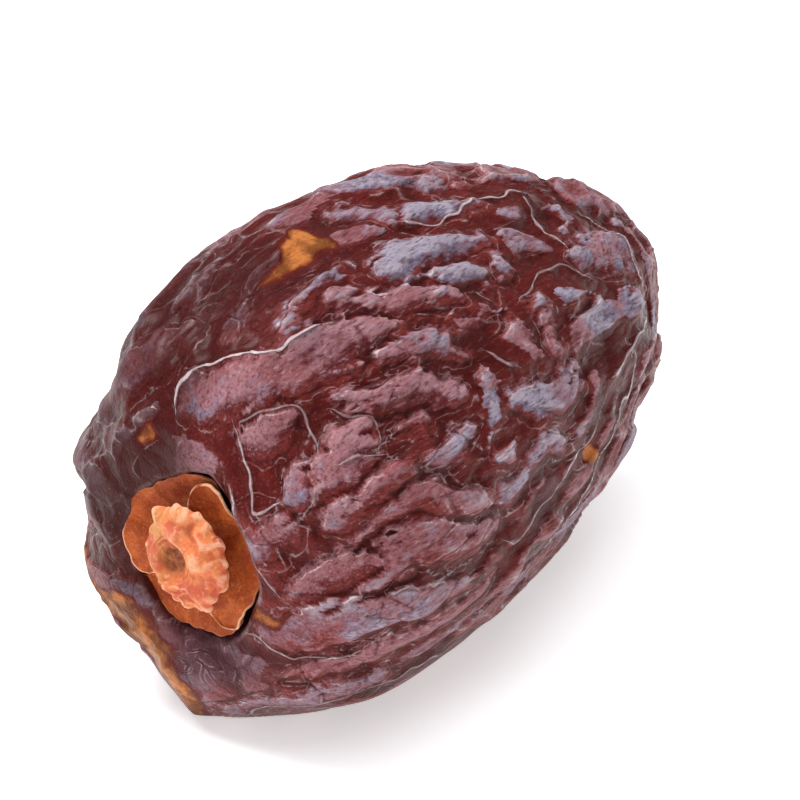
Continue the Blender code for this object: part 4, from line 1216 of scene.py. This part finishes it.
def calyx_paint():
    """Light orange to tan, with painted shade in folds, darker in the scar, and a painted highlight on
    what stands out.
    """
    paint = Paint("dry_calyx", IOR=1.4, Specular_IOR_Level=0.35)
    pit, smooth_side, stands_out = paint.fields("pit", "smooth_side", "stands_out")
    patches = paint.noise(1.8, 2)
    veins = paint.noise(0.55, 5, 0.7, 1.6)
    clouds = paint.noise(0.8, 4, 0.6)
    grain = paint.noise(0.16, 3, 0.7)
    streaks = paint.noise(0.6, 4, 0.65, 0.3)
    colour = paint.coats(
        paint.mix(clouds.step(0.35, 0.65), *CALYX_ORANGES),
        (smooth_side, CALYX_TAN),
        (patches.step(0.54, 0.64) * 0.75, CALYX_ROSE),
        # painted shade in folds, and a painted highlight on what stands out
        (stands_out.step(-0.4, -2.0) * 0.6, CALYX_FOLD_SHADE),
        (stands_out.step(0.6, 2.2) * 0.5, CALYX_EDGE_HIGHLIGHT),
        (veins.step(0.53, 0.68) * 0.55, CALYX_VEIN),
        (veins.step(0.45, 0.33) * 0.4, CALYX_LIGHT),
        (grain.step(0.5, 0.75) * 0.3, CALYX_GRAIN),
        (pit, paint.mix(streaks.step(0.35, 0.65), *SCAR_BROWNS)),
    )
    bumps = paint.bumps(0.04 * grain + 0.08 * clouds - 0.14 * veins, 0.9)
    return paint.finish(Base_Color=colour, Roughness=0.42 + 0.2 * grain, Normal=bumps)


def make_floor():
    """A pale floor that glows a little, as white paper does under much light."""
    bm = bmesh.new()
    bmesh.ops.create_grid(bm, x_segments=1, y_segments=1, size=FLOOR_SIZE)
    mesh = new_mesh("floor", bm)
    paint = Paint("pale_floor", Roughness=0.7, Specular_IOR_Level=0.2, Base_Color=(0.9, 0.9, 0.9))
    mesh.materials.append(paint.finish(Emission_Color=(1, 1, 1), Emission_Strength=FLOOR_GLOW))
    floor = new_object("floor", mesh)


def aimed(name, data, centre, offset):
    """A light or camera at an offset from the centre, turned to it."""
    thing = new_object(name, data)
    thing.location = centre + offset * MM
    thing.rotation_euler = offset.to_track_quat("Z", "Y").to_euler()
    return thing


def make_light(name, centre, offset, size, power):
    data = bpy.data.lights.new(name, "AREA")
    data.shape = "DISK"
    data.size = size * MM
    data.energy = power
    aimed(name, data, centre, offset)


def make_stage():
    """A floor, the camera at the picture's angle, and soft light from above and the left."""
    make_floor()
    low, high = cad_box
    centre = (low + high) / 2
    azimuth, elevation = math.radians(CAMERA_AZIMUTH), math.radians(CAMERA_ELEVATION)
    level = math.cos(elevation)
    back = Vector((math.sin(azimuth) * level, -math.cos(azimuth) * level, math.sin(elevation)))
    data = bpy.data.cameras.new("camera")
    data.lens = data.sensor_width * CAMERA_DISTANCE / VIEW_WIDTH
    data.clip_start = 0.01
    bpy.context.scene.camera = aimed("camera", data, centre, back * CAMERA_DISTANCE)
    right = Vector((math.cos(azimuth), math.sin(azimuth), 0))
    away = Vector((-back.x, -back.y, 0)).normalized()
    up = Vector((0, 0, 1))
    for name, (place, size, power) in LIGHTS.items():
        make_light(name, centre, place[0] * right + place[1] * away + place[2] * up, size, power)
    world = bpy.data.worlds.new("studio")
    world.use_nodes = True
    world.node_tree.nodes["Background"].inputs["Color"].default_value = SKY
    world.node_tree.nodes["Background"].inputs["Strength"].default_value = SKY_STRENGTH
    bpy.context.scene.world = world
    bpy.context.scene.view_settings.view_transform = "Standard"


make_stage()
make_fruit(skin_paint())
petal_finish = petal_paint()
for petal in PETALS:
    make_petal(petal, petal_finish)
make_calyx(calyx_paint())
